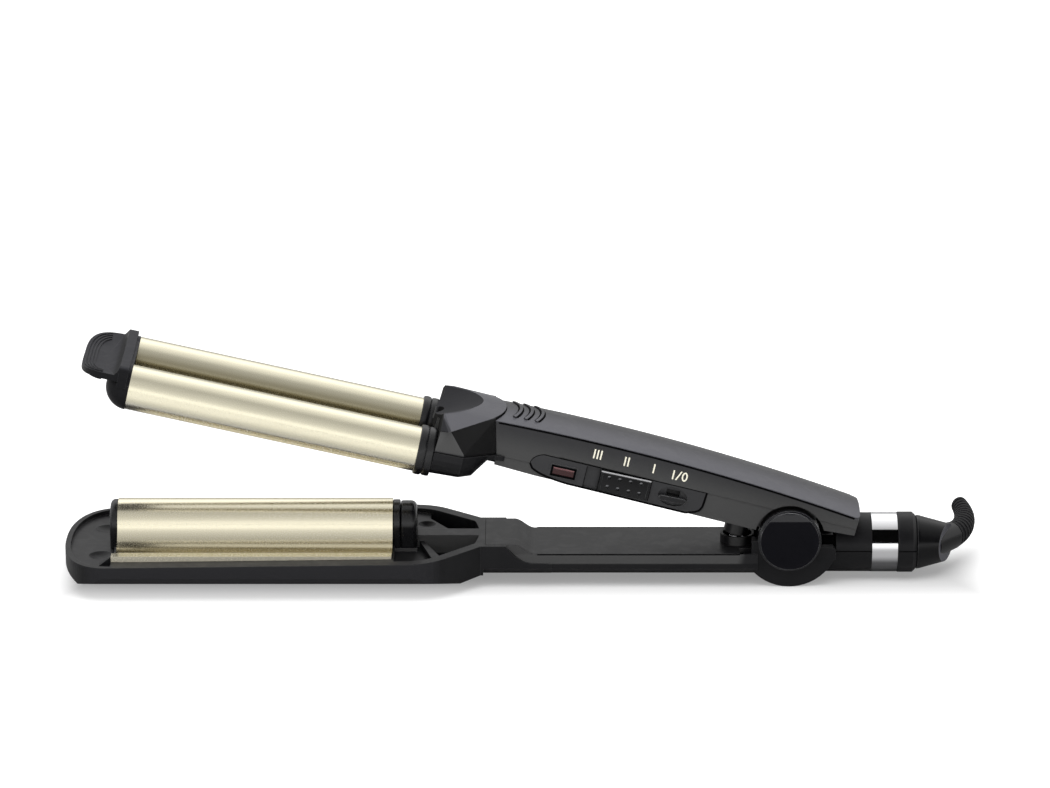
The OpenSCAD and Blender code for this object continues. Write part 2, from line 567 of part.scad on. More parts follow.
// Outer side profile of the handle under its cover
module handle_side(d) intersection() {
    polygon([[front_x(40) + d, 40], [front_x(split_z) + d, split_z], [front_x(split_z) + d, 4.9 + d], [0, 3.9 + d], [100, 0.8 + d], [104, 0.8 + d],
        [handle_x1 - 16, 6.9 + d], [handle_x1 - 0.8 - d, 7.6 + d], [handle_x1 - d, 40]]);
    arch_disc(-d);
}
function belt(x) = belt_z + belt_slope * (x - 20);
module upper_shell() color([0.10, 0.10, 0.11]) raised() difference() {
    union() {
        difference() {
            along_y(-handle_half, handle_half) handle_side(0);
            // shallow step below the belt line
            both_sides() along_y(handle_half - 0.35, handle_half + 1)
                polygon([[-30, -5], [-30, belt_low], [1, belt_low], [10, belt(10)], [150, belt(150)], [150, -5]]);
            both_sides() along_y(handle_half - seam, handle_half + 1) // shadow groove under the cover
                difference() { arch_disc(1); arch_disc(-seam); }
            // room for the electrics
            intersection() {
                along_y(-handle_half + handle_wall, handle_half - handle_wall) handle_side(2);
                block(room_x0, 96, -20, 20, -10, 40);
            }
            along_y(-handle_half + handle_wall, handle_half - handle_wall) // seat of the cover's rim
                intersection() {
                    difference() { arch_disc(2); arch_disc(-3); }
                    translate([handle_x0 + 4.8, 0]) square([handle_x1 - handle_x0 - 7.2, 40]);
                }
            // open underside that straddles the cord tube
            block(122.5, handle_x1 + 1, -13.1, 13.1, -5, rear_roof);
            // round clearance for the hubs
            both_sides() translate([hinge_x, 0, 0]) y_rod(recess_r, knuckle_w / 2, 20);
        }
        translate([hinge_x, 0, 0]) y_rod(knuckle_r, -knuckle_w / 2, knuckle_w / 2);
        for (p = upper_screw_x) translate([p, 0, 0]) z_rod(3.6, 2.6, 20);
        for (x = [12, 68]) block(x, x + 2, board_y - 0.6, board_y + board_t + 0.6, 2.4, 6); // board supports
        block(-14.2, -11, -3, 3, 5, 6.9); // foot of the thermal fuse
    }
    translate([hinge_x, 0, 0]) y_rod(pin_r + run_fit, -20, 20);
    for (p = upper_screw_x) translate([p, 0, 0]) { z_rod(1.5, -5, 21); z_rod(2.9, -5, 4.6); }
    along_z(leaf_under - seat, 40) fairing_plan(seat, handle_x0 - 2); // seat of the head's leaf
    along_y(-20, -handle_half + 1.9) panel_outline(0.15); // seat of the control panel
    along_y(-14.6, -12) translate([panel_lo + 2, 4]) square([panel_hi - panel_lo - 8, 8]); // behind the panel
    block(96, 110, -3, 3, 6, 12); // cable way to the hinge
    translate([post_x, 0, 0]) z_rod(spring_r + 1, -2, 3.4);
}
upper_screw_x = [3, 82];
crown_r = (pow(handle_half, 2) + pow(crown, 2)) / (2 * crown);
module crown_section(r0) { // cover section, x counted as radius, y across the handle
    intersection() {
        translate([arch_r + crown - crown_r, 0]) circle(crown_r, $fn = 240);
        translate([r0, -handle_half]) square([40, handle_w]);
    }
}
vent_x = [-9.4, -4.7, 0]; // foremost point of each curved vent
vent_r = 26.5;
module vent_band(x, half, a0, a1) polygon(concat( // part of a ring that bulges toward the cord
    [for (i = [0:10]) let (a = a0 + (a1 - a0) * i / 10) [x - vent_r + (vent_r - half) * cos(a), 3 + (vent_r - half) * sin(a)]],
    [for (i = [10:-1:0]) let (a = a0 + (a1 - a0) * i / 10) [x - vent_r + (vent_r + half) * cos(a), 3 + (vent_r + half) * sin(a)]]));
module vent_ribs() intersection() { // louvres that stand proud in the slots
    along_z(arch_top + 0.15, 30) for (x = vent_x) vent_band(x, 0.62, -27, 27.6);
    translate([0, 0, arch_top + 0.55 + crown - crown_r]) x_rod(crown_r, -20, 10, $fn = 240);
    block(-20, 10, -handle_half, handle_half, 20, 30);
}
module upper_cover() color([0.12, 0.12, 0.13]) raised() difference() {
    union() {
        difference() {
            intersection() {
                translate([arch_x, 0, arch_top - arch_r]) rotate([90, 0, 0]) rotate([0, 0, 80])
                    rotate_extrude(angle = 20, $fn = 1440) crown_section(arch_r + seat);
                along_z(0, 40) hull() { // plan with rounded rear corners
                    translate([handle_x0, -handle_half]) square([10, handle_w]);
                    for (s = [-1, 1]) translate([handle_x1 - 4, s * (handle_half - 4)]) circle(4, $fn = 32);
                }
            }
            along_z(arch_top - 1, 30) for (x = vent_x) vent_band(x, 1.3, -25.4, 23.6);
            along_z(leaf_under - seat, 40) fairing_plan(seam, handle_x0 - 2);
        }
        vent_ribs();
        intersection() { // rim that locates the cover between the walls
            along_y(-handle_half + handle_wall + seat, handle_half - handle_wall - seat)
                difference() { arch_disc(0.2); arch_disc(-1.5); }
            difference() {
                block(handle_x0 + 5, handle_x1 - 2.6, -20, 20, 0, 40);
                block(handle_x0 + 7, handle_x1 - 4.6, -11.4, 11.4, 0, 40);
            }
        }
        for (p = upper_screw_x) translate([p, 0, 0]) z_rod(3, 20 + seat, top_z(p));
    }
    for (p = upper_screw_x) translate([p, 0, 0]) z_rod(1.1, 10, top_z(p) - 1);
}
function top_z(x) = arch_top - arch_r + sqrt(pow(arch_r, 2) - pow(x - arch_x, 2)) + 0.6;
module upper_screws() color([0.55, 0.55, 0.57]) raised() for (p = upper_screw_x) translate([p, 0, 0]) {
    z_rod(2.7, 3.5, 4.6 - 0.02);
    z_rod(1, 4, 20.6);
}
module spring_post() color([0.08, 0.08, 0.09]) raised() translate([post_x, 0, 0]) difference() {
    z_rod(post_r, post_end, 0.9);
    z_rod(spring_r + 1.2, post_end - 1, 0.95);
}

// ---------- head that joins barrels and handle ----------
function crease_z(x) = 19.4 + 0.27 * (x - head_x0 - 2); // lower edge of the bevelled top
function ridge_z(x) = 23.4 + 0.2 * (x - head_x0 - 0.5); // upper edge of the bevel, round the scoop
leaf_r = 24.9; // radius of the leaf that laps over the handle
module tilted_plate(z0, slope, x_ref) translate([x_ref, 0, z0]) multmatrix([[1, 0, 0, 0], [0, 1, 0, 0],
    [slope, 0, 1, 0], [0, 0, 0, 1]]) translate([-x_ref, 0, 0]) linear_extrude(0.2) children();
// Plan of the head's top: square shoulders, straight flanks, round leaf; x_lo cuts off the front
module fairing_plan(d, x_lo) intersection() {
    polygon(concat([[head_x0 + 0.4, -head_half + 1.1 - d], [head_x0 + 2.4, -head_half - 0.1 - d],
        [head_x0 + 3.7, -head_half - 0.9 - d], [head_x0 + 5, -head_half - 0.7 - d]],
        [for (a = [-45.5:6.5:45.5]) [head_reach - leaf_r + (leaf_r + d) * cos(a), (leaf_r + d) * sin(a)]],
        [[head_x0 + 5, head_half + 0.7 + d], [head_x0 + 3.7, head_half + 0.9 + d],
        [head_x0 + 2.4, head_half + 0.1 + d], [head_x0 + 0.4, head_half - 1.1 + d]],
        [[head_x0 - 2.4, 7], [head_x0 - 2.4, -7]]));
    translate([x_lo, -50]) square([60, 100]);
}
// The room that the handle's front end takes up in the head
module handle_end(gap, z1) along_y(-handle_half - gap, handle_half + gap)
    polygon([[front_x(z1) - seat, z1], [front_x(split_z) - seat, split_z], [front_x(split_z) - seat, 0], [20, 0], [20, z1]]);
module head_top() color([0.11, 0.11, 0.12]) raised() difference() {
    union() {
        hull() { // bevelled top
            tilted_plate(crease_z(head_x0), 0.27, head_x0) fairing_plan(0, head_x0 - 3);
            tilted_plate(ridge_z(head_x0), 0.2, head_x0) polygon(oval(head_x0, 16.3, half_pitch - 0.1, 1.75, -90, 90, 28));
        }
        intersection() { // leaf that laps over the handle
            along_z(leaf_under, 30) fairing_plan(0, handle_x0 - 4);
            along_y(-40, 40) polygon([[-30, 0], [-30, crease_z(-30) + 0.1], [-10, crease_z(-10) + 0.1], [-10, 0]]);
        }
        difference() {
            hull() { // side walls that lean into the handle
                along_z(split_z + seat, split_z + 1) polygon([[head_x0, -head_half + 1.2], [-30.6, -head_half + 2.1],
                    [-16.7, -handle_half], [-16.7, handle_half], [-30.6, head_half - 2.1], [head_x0, head_half - 1.2]]);
                tilted_plate(crease_z(head_x0) - 0.1, 0.27, head_x0) polygon([[head_x0, -head_half + 1.1],
                    [-38.5, -head_half + 1], [handle_x0, -handle_half + 0.3], [handle_x0, handle_half - 0.3],
                    [-38.5, head_half - 1], [head_x0, head_half - 1.1]]);
            }
            handle_end(seat, 30);
        }
        along_y(-10, 10) polygon([[head_x0 + 1, 13.4], [head_x0 - 3.4, 13.4], [head_x0 - 2.6, 19],
            [head_x0 + 1, 20]]); // prow between the barrels
    }
    // scoop in the top, and the bite between the barrels
    translate([head_x0 + 0.5, 0, 19.3]) rotate([0, -24.3, 0]) translate([0, 0, 51]) x_rod(51, -12, 30, $fn = 240);
    translate([head_x0 - 2.9, 0, 12]) cylinder(r1 = 3, r2 = 4.9, h = 10);
    multmatrix([[1, 0, 0.06, -0.06 * split_z], [0, 1, 0, 0], [0, 0, 1, 0], [0, 0, 0, 1]]) // leaning front face
        along_z(split_z, 40) polygon([[-60, -40], [head_x0, -33], [head_x0, -15], [head_x0 - 1.6, -9.4],
            [head_x0 - 2.6, -4], [head_x0 - 2.6, 4], [head_x0 - 1.6, 9.4], [head_x0, 15], [head_x0, 33],
            [-60, 40]]);
    handle_end(seat, leaf_under);
    barrel_sockets();
}
module barrel_sockets() for (s = [-1, 1]) translate([0, s * half_pitch, barrel_rise])
    x_rod(barrel_r - barrel_wall - 1, head_x0 - 1, -30);
// One station of the head's lower moulding, mirrored about the middle
module base_slice(x, pts) along_x(x, x + 0.2) polygon(concat(pts,
    [for (i = [len(pts) - 1:-1:0]) [-pts[i][0], pts[i][1]]]));
module head_base() color([0.10, 0.10, 0.11]) raised() difference() {
    union() {
        hull() {
            base_slice(head_x0, [[half_pitch - 4, -3.3], [half_pitch, -2.9], [half_pitch + 5, -1.4], [half_pitch + 8.6, 1.2],
                [half_pitch + 10.1, 4.2], [head_half - 0.4, 6.4], [head_half - 0.4, split_z]]);
            base_slice(-31, [[half_pitch - 4, -2.6], [half_pitch, -2.2], [half_pitch + 4.8, -0.9], [half_pitch + 8.2, 1.4],
                [half_pitch + 9.5, 4.4], [head_half - 1, 6.4], [head_half - 1, split_z]]);
            base_slice(-25.4, [[14, -1.7], [18, -1.2], [22, 0.7], [24.2, 4], [24.9, 6.4], [24.9, split_z]]);
            base_slice(-20.2, [[12, 5.4], [16, 6], [19, 7.4], [19.6, split_z]]);
        }
        along_x(-20.2, front_x(split_z) - seat) polygon([[-16.2, 7.4], [-14, 5.6], [14, 5.6], [16.2, 7.4], [16.2, split_z],
            [-16.2, split_z]]);
        both_sides() along_z(7.4, split_z) polygon([[-20.2, 14], [-20.2, 19.6], [-17, 17.3], [-13.8, 16.4],
            [-13, 15.9], [-12.8, handle_half + 0.05], [-18, handle_half + 0.05], [-19, 14]]); // lips on the handle's sides
    }
    translate([0, 0, -1]) along_x(-50, -10) circle(9.2, $fn = 48); // arch between the barrels
    handle_end(seat / 2, split_z);
    barrel_sockets();
}

// ---------- barrels ----------
module barrel(s) translate([0, s * half_pitch, barrel_rise]) difference() {
    x_rod(barrel_r, barrel_x0, head_x0 - seat, $fn = 96);
    x_rod(barrel_r - barrel_wall, barrel_x0 - 1, head_x0 + 1, $fn = 96);
}
module front_barrel() color([0.80, 0.74, 0.60]) raised() barrel(-1);
module rear_barrel() color([0.80, 0.74, 0.60]) raised() barrel(1);
// Two rounded collars and the groove between them, turned in one piece
function bulge(x0, x1, r0, r1) = [for (a = [-90:18:90]) [r0 + (r1 - r0) * pow(cos(a), 0.6), (x0 + x1) / 2 + (x1 - x0) / 2 * sin(a)]];
module barrel_rings() color([0.07, 0.07, 0.08]) raised() for (s = [-1, 1])
    translate([barrel_x1, s * half_pitch, barrel_rise]) rotate([0, 90, 0]) rotate_extrude($fn = 72) {
        bore = barrel_r + 0.05;
        w = head_x0 - seat - barrel_x1;
        polygon(concat([[bore, 0]], bulge(0, 3.4, barrel_r + 0.3, barrel_r + 1.1),
            bulge(3.6, w, barrel_r + 0.3, barrel_r + 0.9), [[bore, w]]));
    }
module heater(s) translate([0, s * half_pitch, barrel_rise]) {
    clamp_r = barrel_r - barrel_wall - seat;
    difference() {
        x_rod(clamp_r, barrel_x0 + 8, head_x0 - 8);
        block(barrel_x0, head_x0, -heater_y / 2 - seat, heater_y / 2 + seat, -heater_z / 2 - seat, heater_z / 2 + seat);
    }
    block(barrel_x0 + 14, head_x0 - 14, -heater_y / 2, heater_y / 2, -heater_z / 2, heater_z / 2);
}
module front_heater() color([0.75, 0.76, 0.78]) raised() heater(-1);
module rear_heater() color([0.75, 0.76, 0.78]) raised() heater(1);

// ---------- tip cap with thumb rest ----------
cap_back = barrel_x0 - seat;
rest_top = 9.6; // top of the thumb rest in the middle
rest_under = 7.9;
rest_reach = 21.6;
rest_half = half_pitch + barrel_r - 0.3;
rest_dish = 135; // radius of the dished top
under_dish = 200;
cap_wall = 5.2; // thickness of the end wall over the barrels
wall_top = barrel_rise + barrel_r + 0.7;
wall_half = half_pitch + barrel_r + 0.1;
shoulder = 4; // radius of the end wall's upper corners
fillet_r = 9;
fillet_x = cap_back - cap_wall - 8.7;
dome_r = barrel_r + 0.2;
module rest_plan(d) polygon(oval(cap_back, -rest_reach + d, rest_half - d, 4, -90, 90, 40));
module barrel_pair(r) for (s = [-1, 1]) translate([s * half_pitch, barrel_rise]) circle(r);
module end_wall() { // upper outline over both barrels, with rounded corners
    for (s = [-1, 1]) translate([s * (wall_half - shoulder), wall_top - shoulder]) circle(shoulder);
    translate([shoulder - wall_half, rest_under]) square([2 * (wall_half - shoulder), wall_top - rest_under]);
    translate([-wall_half, rest_under]) square([2 * wall_half, wall_top - shoulder - rest_under]);
}
module dish_rod(r, z) translate([0, 0, z + r]) x_rod(r, cap_back - 30, cap_back + 1, $fn = 360);
module tip_cap() color([0.08, 0.08, 0.09]) raised() {
    difference() {
        union() {
            intersection() { // rounded nose under the thumb rest
                translate([cap_back, 0, barrel_rise]) union() {
                    for (s = [-1, 1]) translate([0, s * half_pitch, 0]) sphere(dome_r);
                    y_rod(dome_r, -half_pitch, half_pitch);
                }
                block(cap_back - 20, cap_back, -40, 40, -10, rest_under + 1.2);
            }
            intersection() { // dished thumb rest
                along_z(rest_under, rest_top + 4) rest_plan(0);
                dish_rod(under_dish, rest_under);
                difference() {
                    block(cap_back - 30, cap_back - 1.3, -40, 40, 0, 30);
                    dish_rod(rest_dish, rest_top);
                }
            }
            along_x(cap_back - cap_wall, cap_back - 1.3) end_wall();
            intersection() { // narrower seat against the barrels
                along_x(cap_back - 1.31, cap_back) union() {
                    barrel_pair(barrel_r + 0.1);
                    translate([-half_pitch, barrel_rise]) square([barrel_pitch, barrel_r - 0.6]);
                }
                block(cap_back - 2, cap_back, -40, 40, rest_under, 30);
            }
            difference() { // fillet that sweeps the thumb rest up into the end wall
                intersection() {
                    along_x(fillet_x, cap_back - cap_wall + eps) end_wall();
                    along_z(rest_top - 0.5, 30) rest_plan(0);
                    dish_rod(under_dish, rest_under);
                }
                translate([fillet_x, 0, rest_top + fillet_r]) y_rod(fillet_r, -40, 40);
            }
        }
        along_x(plate_x0 - tip_collar_w - 1.2, cap_back + 1) { // notch that passes over the plate's crest
            translate([0, crest_z - hinge_z]) circle(crest_r + 0.3);
            translate([-crest_r - 0.3, -10]) square([2 * crest_r + 0.6, crest_z - hinge_z + 10]);
        }
    }
    intersection() { // curved grip ridges along the edge
        for (i = [0:3]) along_z(rest_under + 1, rest_top + 4) difference() {
            rest_plan(1 + 1.3 * i);
            rest_plan(1.6 + 1.3 * i);
        }
        difference() {
            block(cap_back - 30, fillet_x + 2, -rest_half + 2.5, rest_half - 2.5, 0, 40);
            dish_rod(rest_dish, rest_top + 0.45);
        }
    }
    for (s = [-1, 1]) translate([0, s * half_pitch, barrel_rise]) // spigots inside the barrels
        x_rod(barrel_r - barrel_wall - seat, cap_back - eps, cap_back + 6);
}

// ---------- controls ----------
panel_lo = -1.8;
panel_hi = 74;
module panel_outline(d) polygon(concat([for (a = [180:-15:105]) [5.5 + (7.3 + d) * cos(a), 9 + (5.1 + d) * sin(a)]],
    [[panel_hi + d, belt(panel_hi) - 0.2 + d], [panel_hi - 0.5 + d, 6], [panel_hi - 3 + d, 3.2], [panel_hi - 7, 1.95 - d]],
    [[22, 3.3 - d]],
    [for (a = [255:-15:195]) [22 + (23.8 + d) * cos(a), 9 + (5.7 + d) * sin(a)]]));
slider_x1 = 49.9;
slider_x0 = slider_x1 - slider_len;
slider_lo = 3.9;
slider_hi = 12.8;
power_x = 60.2;
power_z = 8;
power_bar = 1.6; // thickness of the stem behind the bar across the dish
power_rest = power_z - power_travel / 2; // height of the bar at rest
stem_x0 = 36;
stem_x1 = 46;
stem_lo = 6.4;
stem_hi = 9.6;
lamp = [12.7, 8.2, 10.3, 4.4]; // centre and size of the lamp window
module slider_window(d) translate([slider_x0 - slider_travel - d, slider_lo - d])
    square([slider_len + slider_travel + 2 * d, slider_hi - slider_lo + 2 * d]);
module control_panel() color([0.13, 0.13, 0.14]) raised() difference() {
    union() {
        along_y(-panel_face, -handle_half + 1.8) panel_outline(0);
        along_y(-panel_face - 0.35, -panel_face + 1) translate([lamp[0], lamp[1]]) // frame of the lamp window
            square([lamp[2] + 1.4, lamp[3] + 1.4], center = true);
    }
    along_y(-20, -panel_face + 1.2) slider_window(side_gap); // recess of the heat slider
    along_y(-20, 0) translate([stem_x0 - slider_travel - side_gap, stem_lo - side_gap])
        square([stem_x1 - stem_x0 + slider_travel + 2 * side_gap, stem_hi - stem_lo + 2 * side_gap]);
    along_y(-20, -panel_face + 1.3) translate([power_x, power_z - 0.3]) scale([1, 0.66]) circle(6.2); // dish
    along_y(-20, 0) translate([power_x - 2.6 - side_gap, power_rest - power_bar / 2 - side_gap])
        square([5.2 + 2 * side_gap, power_bar + power_travel + 2 * side_gap]);
    along_y(-20, 0) translate([lamp[0], lamp[1]]) square([lamp[2] + 0.2, lamp[3] + 0.2], center = true);
}
module lamp_lens() color([0.55, 0.08, 0.08]) raised() along_y(-panel_face - 0.15, -12.2)
    translate([lamp[0], lamp[1]]) square([lamp[2], lamp[3]], center = true);
module lamp_led() color([0.8, 0.2, 0.2]) raised() translate([lamp[0], 0, lamp[1]]) y_rod(1.5, -12.1, board_y - 0.05);
board_y = -9.4;
board_t = 1.6;
module circuit_board() color([0.1, 0.35, 0.15]) raised() block(6, 74, board_y, board_y + board_t, 6.1, 13.2);
module heat_switch() color([0.15, 0.15, 0.16]) raised() difference() {
    block(30, 48, board_y - 2.4, board_y - 0.05, 5.8, 10.8);
    block(31.5, 46.5, board_y - 3, board_y - 1, 7, 9.6);
}
module power_switch() color([0.15, 0.15, 0.16]) raised() difference() {
    block(54, 66.4, board_y - 2.4, board_y - 0.05, 4.4, 12.2);
    block(56, 64.4, board_y - 3, board_y - 1, 5, 11.8);
}
module thermal_fuse() color([0.8, 0.8, 0.8]) raised() {
    translate([0, 0, 10]) x_rod(1.6, -11, -1.5);
    block(-13, -0.6, -2.4, 2.4, 8.1, 8.5);
    block(-13, -12, -2.4, 2.4, 7, 8.2);
}
module heat_slider() color([0.07, 0.07, 0.08]) raised() {
    difference() {
        along_x(slider_x0, slider_x1) translate([-panel_face, 0]) polygon([[0.9, slider_lo], [-1.2, slider_lo],
            [-1.6, slider_lo + 0.6], [-1.6, slider_hi - 1], [-1, slider_hi], [0.9, slider_hi]]);
        translate([0, -panel_face - 31.4, (slider_lo + slider_hi) / 2]) // thumb hollow
            x_rod(30.2, slider_x0 + 1, slider_x1 - 1, $fn = 180);
    }
    for (i = [0:3]) for (j = [-1, 1]) // raised grip dots
        translate([slider_x0 + 3.8 + i * 4.6, -panel_face - 1, (slider_lo + slider_hi) / 2 + j * 2.1])
            sphere(0.85, $fn = 24);
    block(stem_x0, stem_x1, -panel_face + 0.8, board_y - 2.8, stem_lo, stem_hi);
    block(39, 44, board_y - 2.9, board_y - 1.4, 7.4, 9.2);
}
module power_slide() color([0.07, 0.07, 0.08]) raised() {
    along_y(-panel_face - 1.3, -panel_face - 0.3) hull() for (s = [-1, 1])
        translate([power_x + s * 4.8, power_rest]) circle(1.1, $fn = 24);
    block(power_x - 2.6, power_x + 2.6, -panel_face - 0.31, board_y - 1.4, power_rest - power_bar / 2,
        power_rest + power_bar / 2);
}

lower_shell();
lower_cover();
rear_cover();
wave_plate();
plate_tip_collar();
plate_heel_ring();
plate_heel_collar();
plate_heat_block();
plate_heater();
plate_support();
chrome_ring();
rear_collar();
hinge_pin();
hinge_cap_front();
hinge_cap_back();
spring_cup();
return_spring();
lower_screws();
upper_shell();
upper_cover();
head_top();
head_base();
front_barrel();
rear_barrel();
barrel_rings();
tip_cap();
front_heater();
rear_heater();
control_panel();
lamp_lens();
lamp_led();
circuit_board();
heat_switch();
power_switch();
thermal_fuse();
spring_post();
upper_screws();
heat_slider();
power_slide();
cord_swivel();
cord_boot();
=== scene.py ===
import bmesh
import bpy
import json
import math
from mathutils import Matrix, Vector


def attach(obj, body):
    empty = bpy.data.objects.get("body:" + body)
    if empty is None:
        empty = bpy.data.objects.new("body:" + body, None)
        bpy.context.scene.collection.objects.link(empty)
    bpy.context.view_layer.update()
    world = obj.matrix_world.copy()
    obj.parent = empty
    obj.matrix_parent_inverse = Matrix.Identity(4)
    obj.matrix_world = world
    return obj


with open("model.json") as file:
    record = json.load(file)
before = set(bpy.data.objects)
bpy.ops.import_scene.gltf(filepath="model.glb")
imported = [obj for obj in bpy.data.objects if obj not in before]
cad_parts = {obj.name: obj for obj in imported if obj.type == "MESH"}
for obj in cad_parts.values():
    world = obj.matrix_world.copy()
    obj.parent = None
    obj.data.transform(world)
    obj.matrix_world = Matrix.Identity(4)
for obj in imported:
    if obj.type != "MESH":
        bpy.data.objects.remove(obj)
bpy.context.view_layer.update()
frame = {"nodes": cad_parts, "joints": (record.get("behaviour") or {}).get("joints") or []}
print("frame loaded:", len(frame["nodes"]), "nodes")

mm = 0.001
perMetre = 1000.0  # millimetres in a metre


def srgb(red, green, blue):
    # screen colour, 0 to 255, to scene colour
    def linear(v):
        v /= 255
        return v / 12.92 if v <= 0.04045 else ((v + 0.055) / 1.055) ** 2.4
    return (linear(red), linear(green), linear(blue), 1.0)


# points on the arms are given in mm; those of the upper arm as it lies with the jaw closed, with
# heights from the hinge axis

hinge = next(j for j in frame["joints"] if j["name"] == "jaw_hinge")
hingeX, hingeZ = hinge["pos_m"][0] / mm, hinge["pos_m"][2] / mm
openAngle = math.radians(hinge["range_deg"][1])


def onUpperArm(x, y, z):
    # point on the raised upper arm, in metres
    back = hingeX - x
    return Vector((hingeX - back * math.cos(openAngle) + z * math.sin(openAngle), y,
                   hingeZ + back * math.sin(openAngle) + z * math.cos(openAngle))) * mm


def onLowerArm(x, y, z):
    # point on the lower arm, in metres
    return Vector((x, y, z)) * mm


# node helpers

def newGroup(name, inputs, outputs):
    group = bpy.data.node_groups.new(name, "ShaderNodeTree")
    for label, kind, value in inputs:
        socket = group.interface.new_socket(label, in_out="INPUT", socket_type=kind)
        socket.default_value = value
    for label, kind in outputs:
        group.interface.new_socket(label, in_out="OUTPUT", socket_type=kind)
    return group, group.nodes.new("NodeGroupInput"), group.nodes.new("NodeGroupOutput")


def addNode(tree, kind, inputs=None, **settings):
    # each input is either another node's output or a plain value
    node = tree.nodes.new(kind)
    for key, value in settings.items():
        setattr(node, key, value)
    for key, value in (inputs or {}).items():
        if hasattr(value, "is_output"):
            tree.links.new(value, node.inputs[key])
        else:
            node.inputs[key].default_value = value
    return node


def connect(tree, node, sockets):
    for label, socket in sockets.items():
        tree.links.new(socket, node.inputs[label])


def mathNode(tree, operation, first, second=0.0):
    return addNode(tree, "ShaderNodeMath", {0: first, 1: second}, operation=operation).outputs[0]


def mapRange(tree, value, fromMin, fromMax, toMin=0.0, toMax=1.0, blend="LINEAR"):
    return addNode(tree, "ShaderNodeMapRange", {"Value": value, "From Min": fromMin, "From Max": fromMax,
                                                "To Min": toMin, "To Max": toMax},
                   interpolation_type=blend).outputs["Result"]


def mixColour(tree, share, first, second):
    # inputs 6 and 7 and output 2 are the colour sockets of the Mix node
    return addNode(tree, "ShaderNodeMix", {0: share, 6: first, 7: second}, data_type="RGBA").outputs[2]


def mixValue(tree, share, first, second):
    # inputs 2 and 3 and output 0 are its number sockets
    return addNode(tree, "ShaderNodeMix", {0: share, 2: first, 3: second}).outputs[0]


def noise(tree, place, scale, detail, twist=0.0):
    return addNode(tree, "ShaderNodeTexNoise", {"Vector": place, "Scale": scale, "Detail": detail,
                                                "Distortion": twist}).outputs["Fac"]


def objectPlace(tree):
    return addNode(tree, "ShaderNodeTexCoord").outputs["Object"]


def surfaceNormal(tree):
    return addNode(tree, "ShaderNodeNewGeometry").outputs["Normal"]


# effects shared by the finishes; a noise field is given by its scale, detail and twist, and a band is
# the range of a value over which its effect grows from nothing to full

colourKind, numberKind, vectorKind = "NodeSocketColor", "NodeSocketFloat", "NodeSocketVector"
darkTone = (0.03, 0.03, 0.03, 1)

mouldTexture = {
    "grainDetail": 2.0, "cloud": (55.0, 3.0), "cloudBand": (0.3, 0.7),
    "smudge": (130.0, 4.0, 1.5), "smudgeBand": (0.45, 0.7), "paleTone": (0.35, 0.35, 0.37, 1),
}


def buildMouldGrain():
    # fine spark-eroded texture of a moulded housing, with cloudy tone and handling smudges
    t = mouldTexture
    group, given, out = newGroup(
        "mouldGrain",
        [("Base Colour", colourKind, darkTone), ("Tone Spread", numberKind, 0.1),
         ("Roughness", numberKind, 0.5), ("Smudge", numberKind, 0.08), ("Grain Size", numberKind, 0.35)],
        [("Colour", colourKind), ("Roughness", numberKind), ("Height", numberKind)])
    place = objectPlace(group)
    grainScale = mathNode(group, "DIVIDE", perMetre, given.outputs["Grain Size"])
    cloud, smudge = noise(group, place, *t["cloud"]), noise(group, place, *t["smudge"])
    paler = mapRange(group, cloud, *t["cloudBand"], 0.0, given.outputs["Tone Spread"])
    smoother = mapRange(group, smudge, *t["smudgeBand"], 0.0, given.outputs["Smudge"])
    connect(group, out, {
        "Colour": mixColour(group, paler, given.outputs["Base Colour"], t["paleTone"]),
        "Roughness": mathNode(group, "SUBTRACT", given.outputs["Roughness"], smoother),
        "Height": noise(group, place, grainScale, t["grainDetail"])})
    return group


coatingTexture = {
    "drawn": (18.0, 620.0, 620.0), "streak": (1.0, 3.0), "streakBand": (0.35, 0.75),
    "speck": (2600.0, 1.0), "speckBand": (0.35, 0.7), "deepTone": (0.32, 0.26, 0.15, 1),
}


def buildCoatingGrain():
    # drawn tube under a coloured coating: faint streaks along the arm and small specks
    t = coatingTexture
    group, given, out = newGroup(
        "coatingGrain",
        [("Base Colour", colourKind, (0.8, 0.7, 0.5, 1)), ("Streaks", numberKind, 0.1),
         ("Roughness", numberKind, 0.3), ("Specks", numberKind, 0.1)],
        [("Colour", colourKind), ("Roughness", numberKind), ("Height", numberKind)])
    place = objectPlace(group)
    drawn = addNode(group, "ShaderNodeMapping", {"Vector": place, "Scale": t["drawn"]}).outputs[0]
    streak, speck = noise(group, drawn, *t["streak"]), noise(group, place, *t["speck"])
    dark = mapRange(group, streak, *t["streakBand"], 0.0, given.outputs["Streaks"])
    spot = mapRange(group, speck, *t["speckBand"], 0.0, given.outputs["Specks"])
    connect(group, out, {
        "Colour": mixColour(group, dark, given.outputs["Base Colour"], t["deepTone"]),
        "Roughness": mathNode(group, "ADD", given.outputs["Roughness"], spot),
        "Height": speck})
    return group


dustTexture = {
    "patch": (90.0, 5.0), "patchBand": (0.35, 0.65), "thinnest": 0.3, "upwardBand": (0.2, 1.0),
    "dustTone": (0.55, 0.54, 0.52, 1),
}


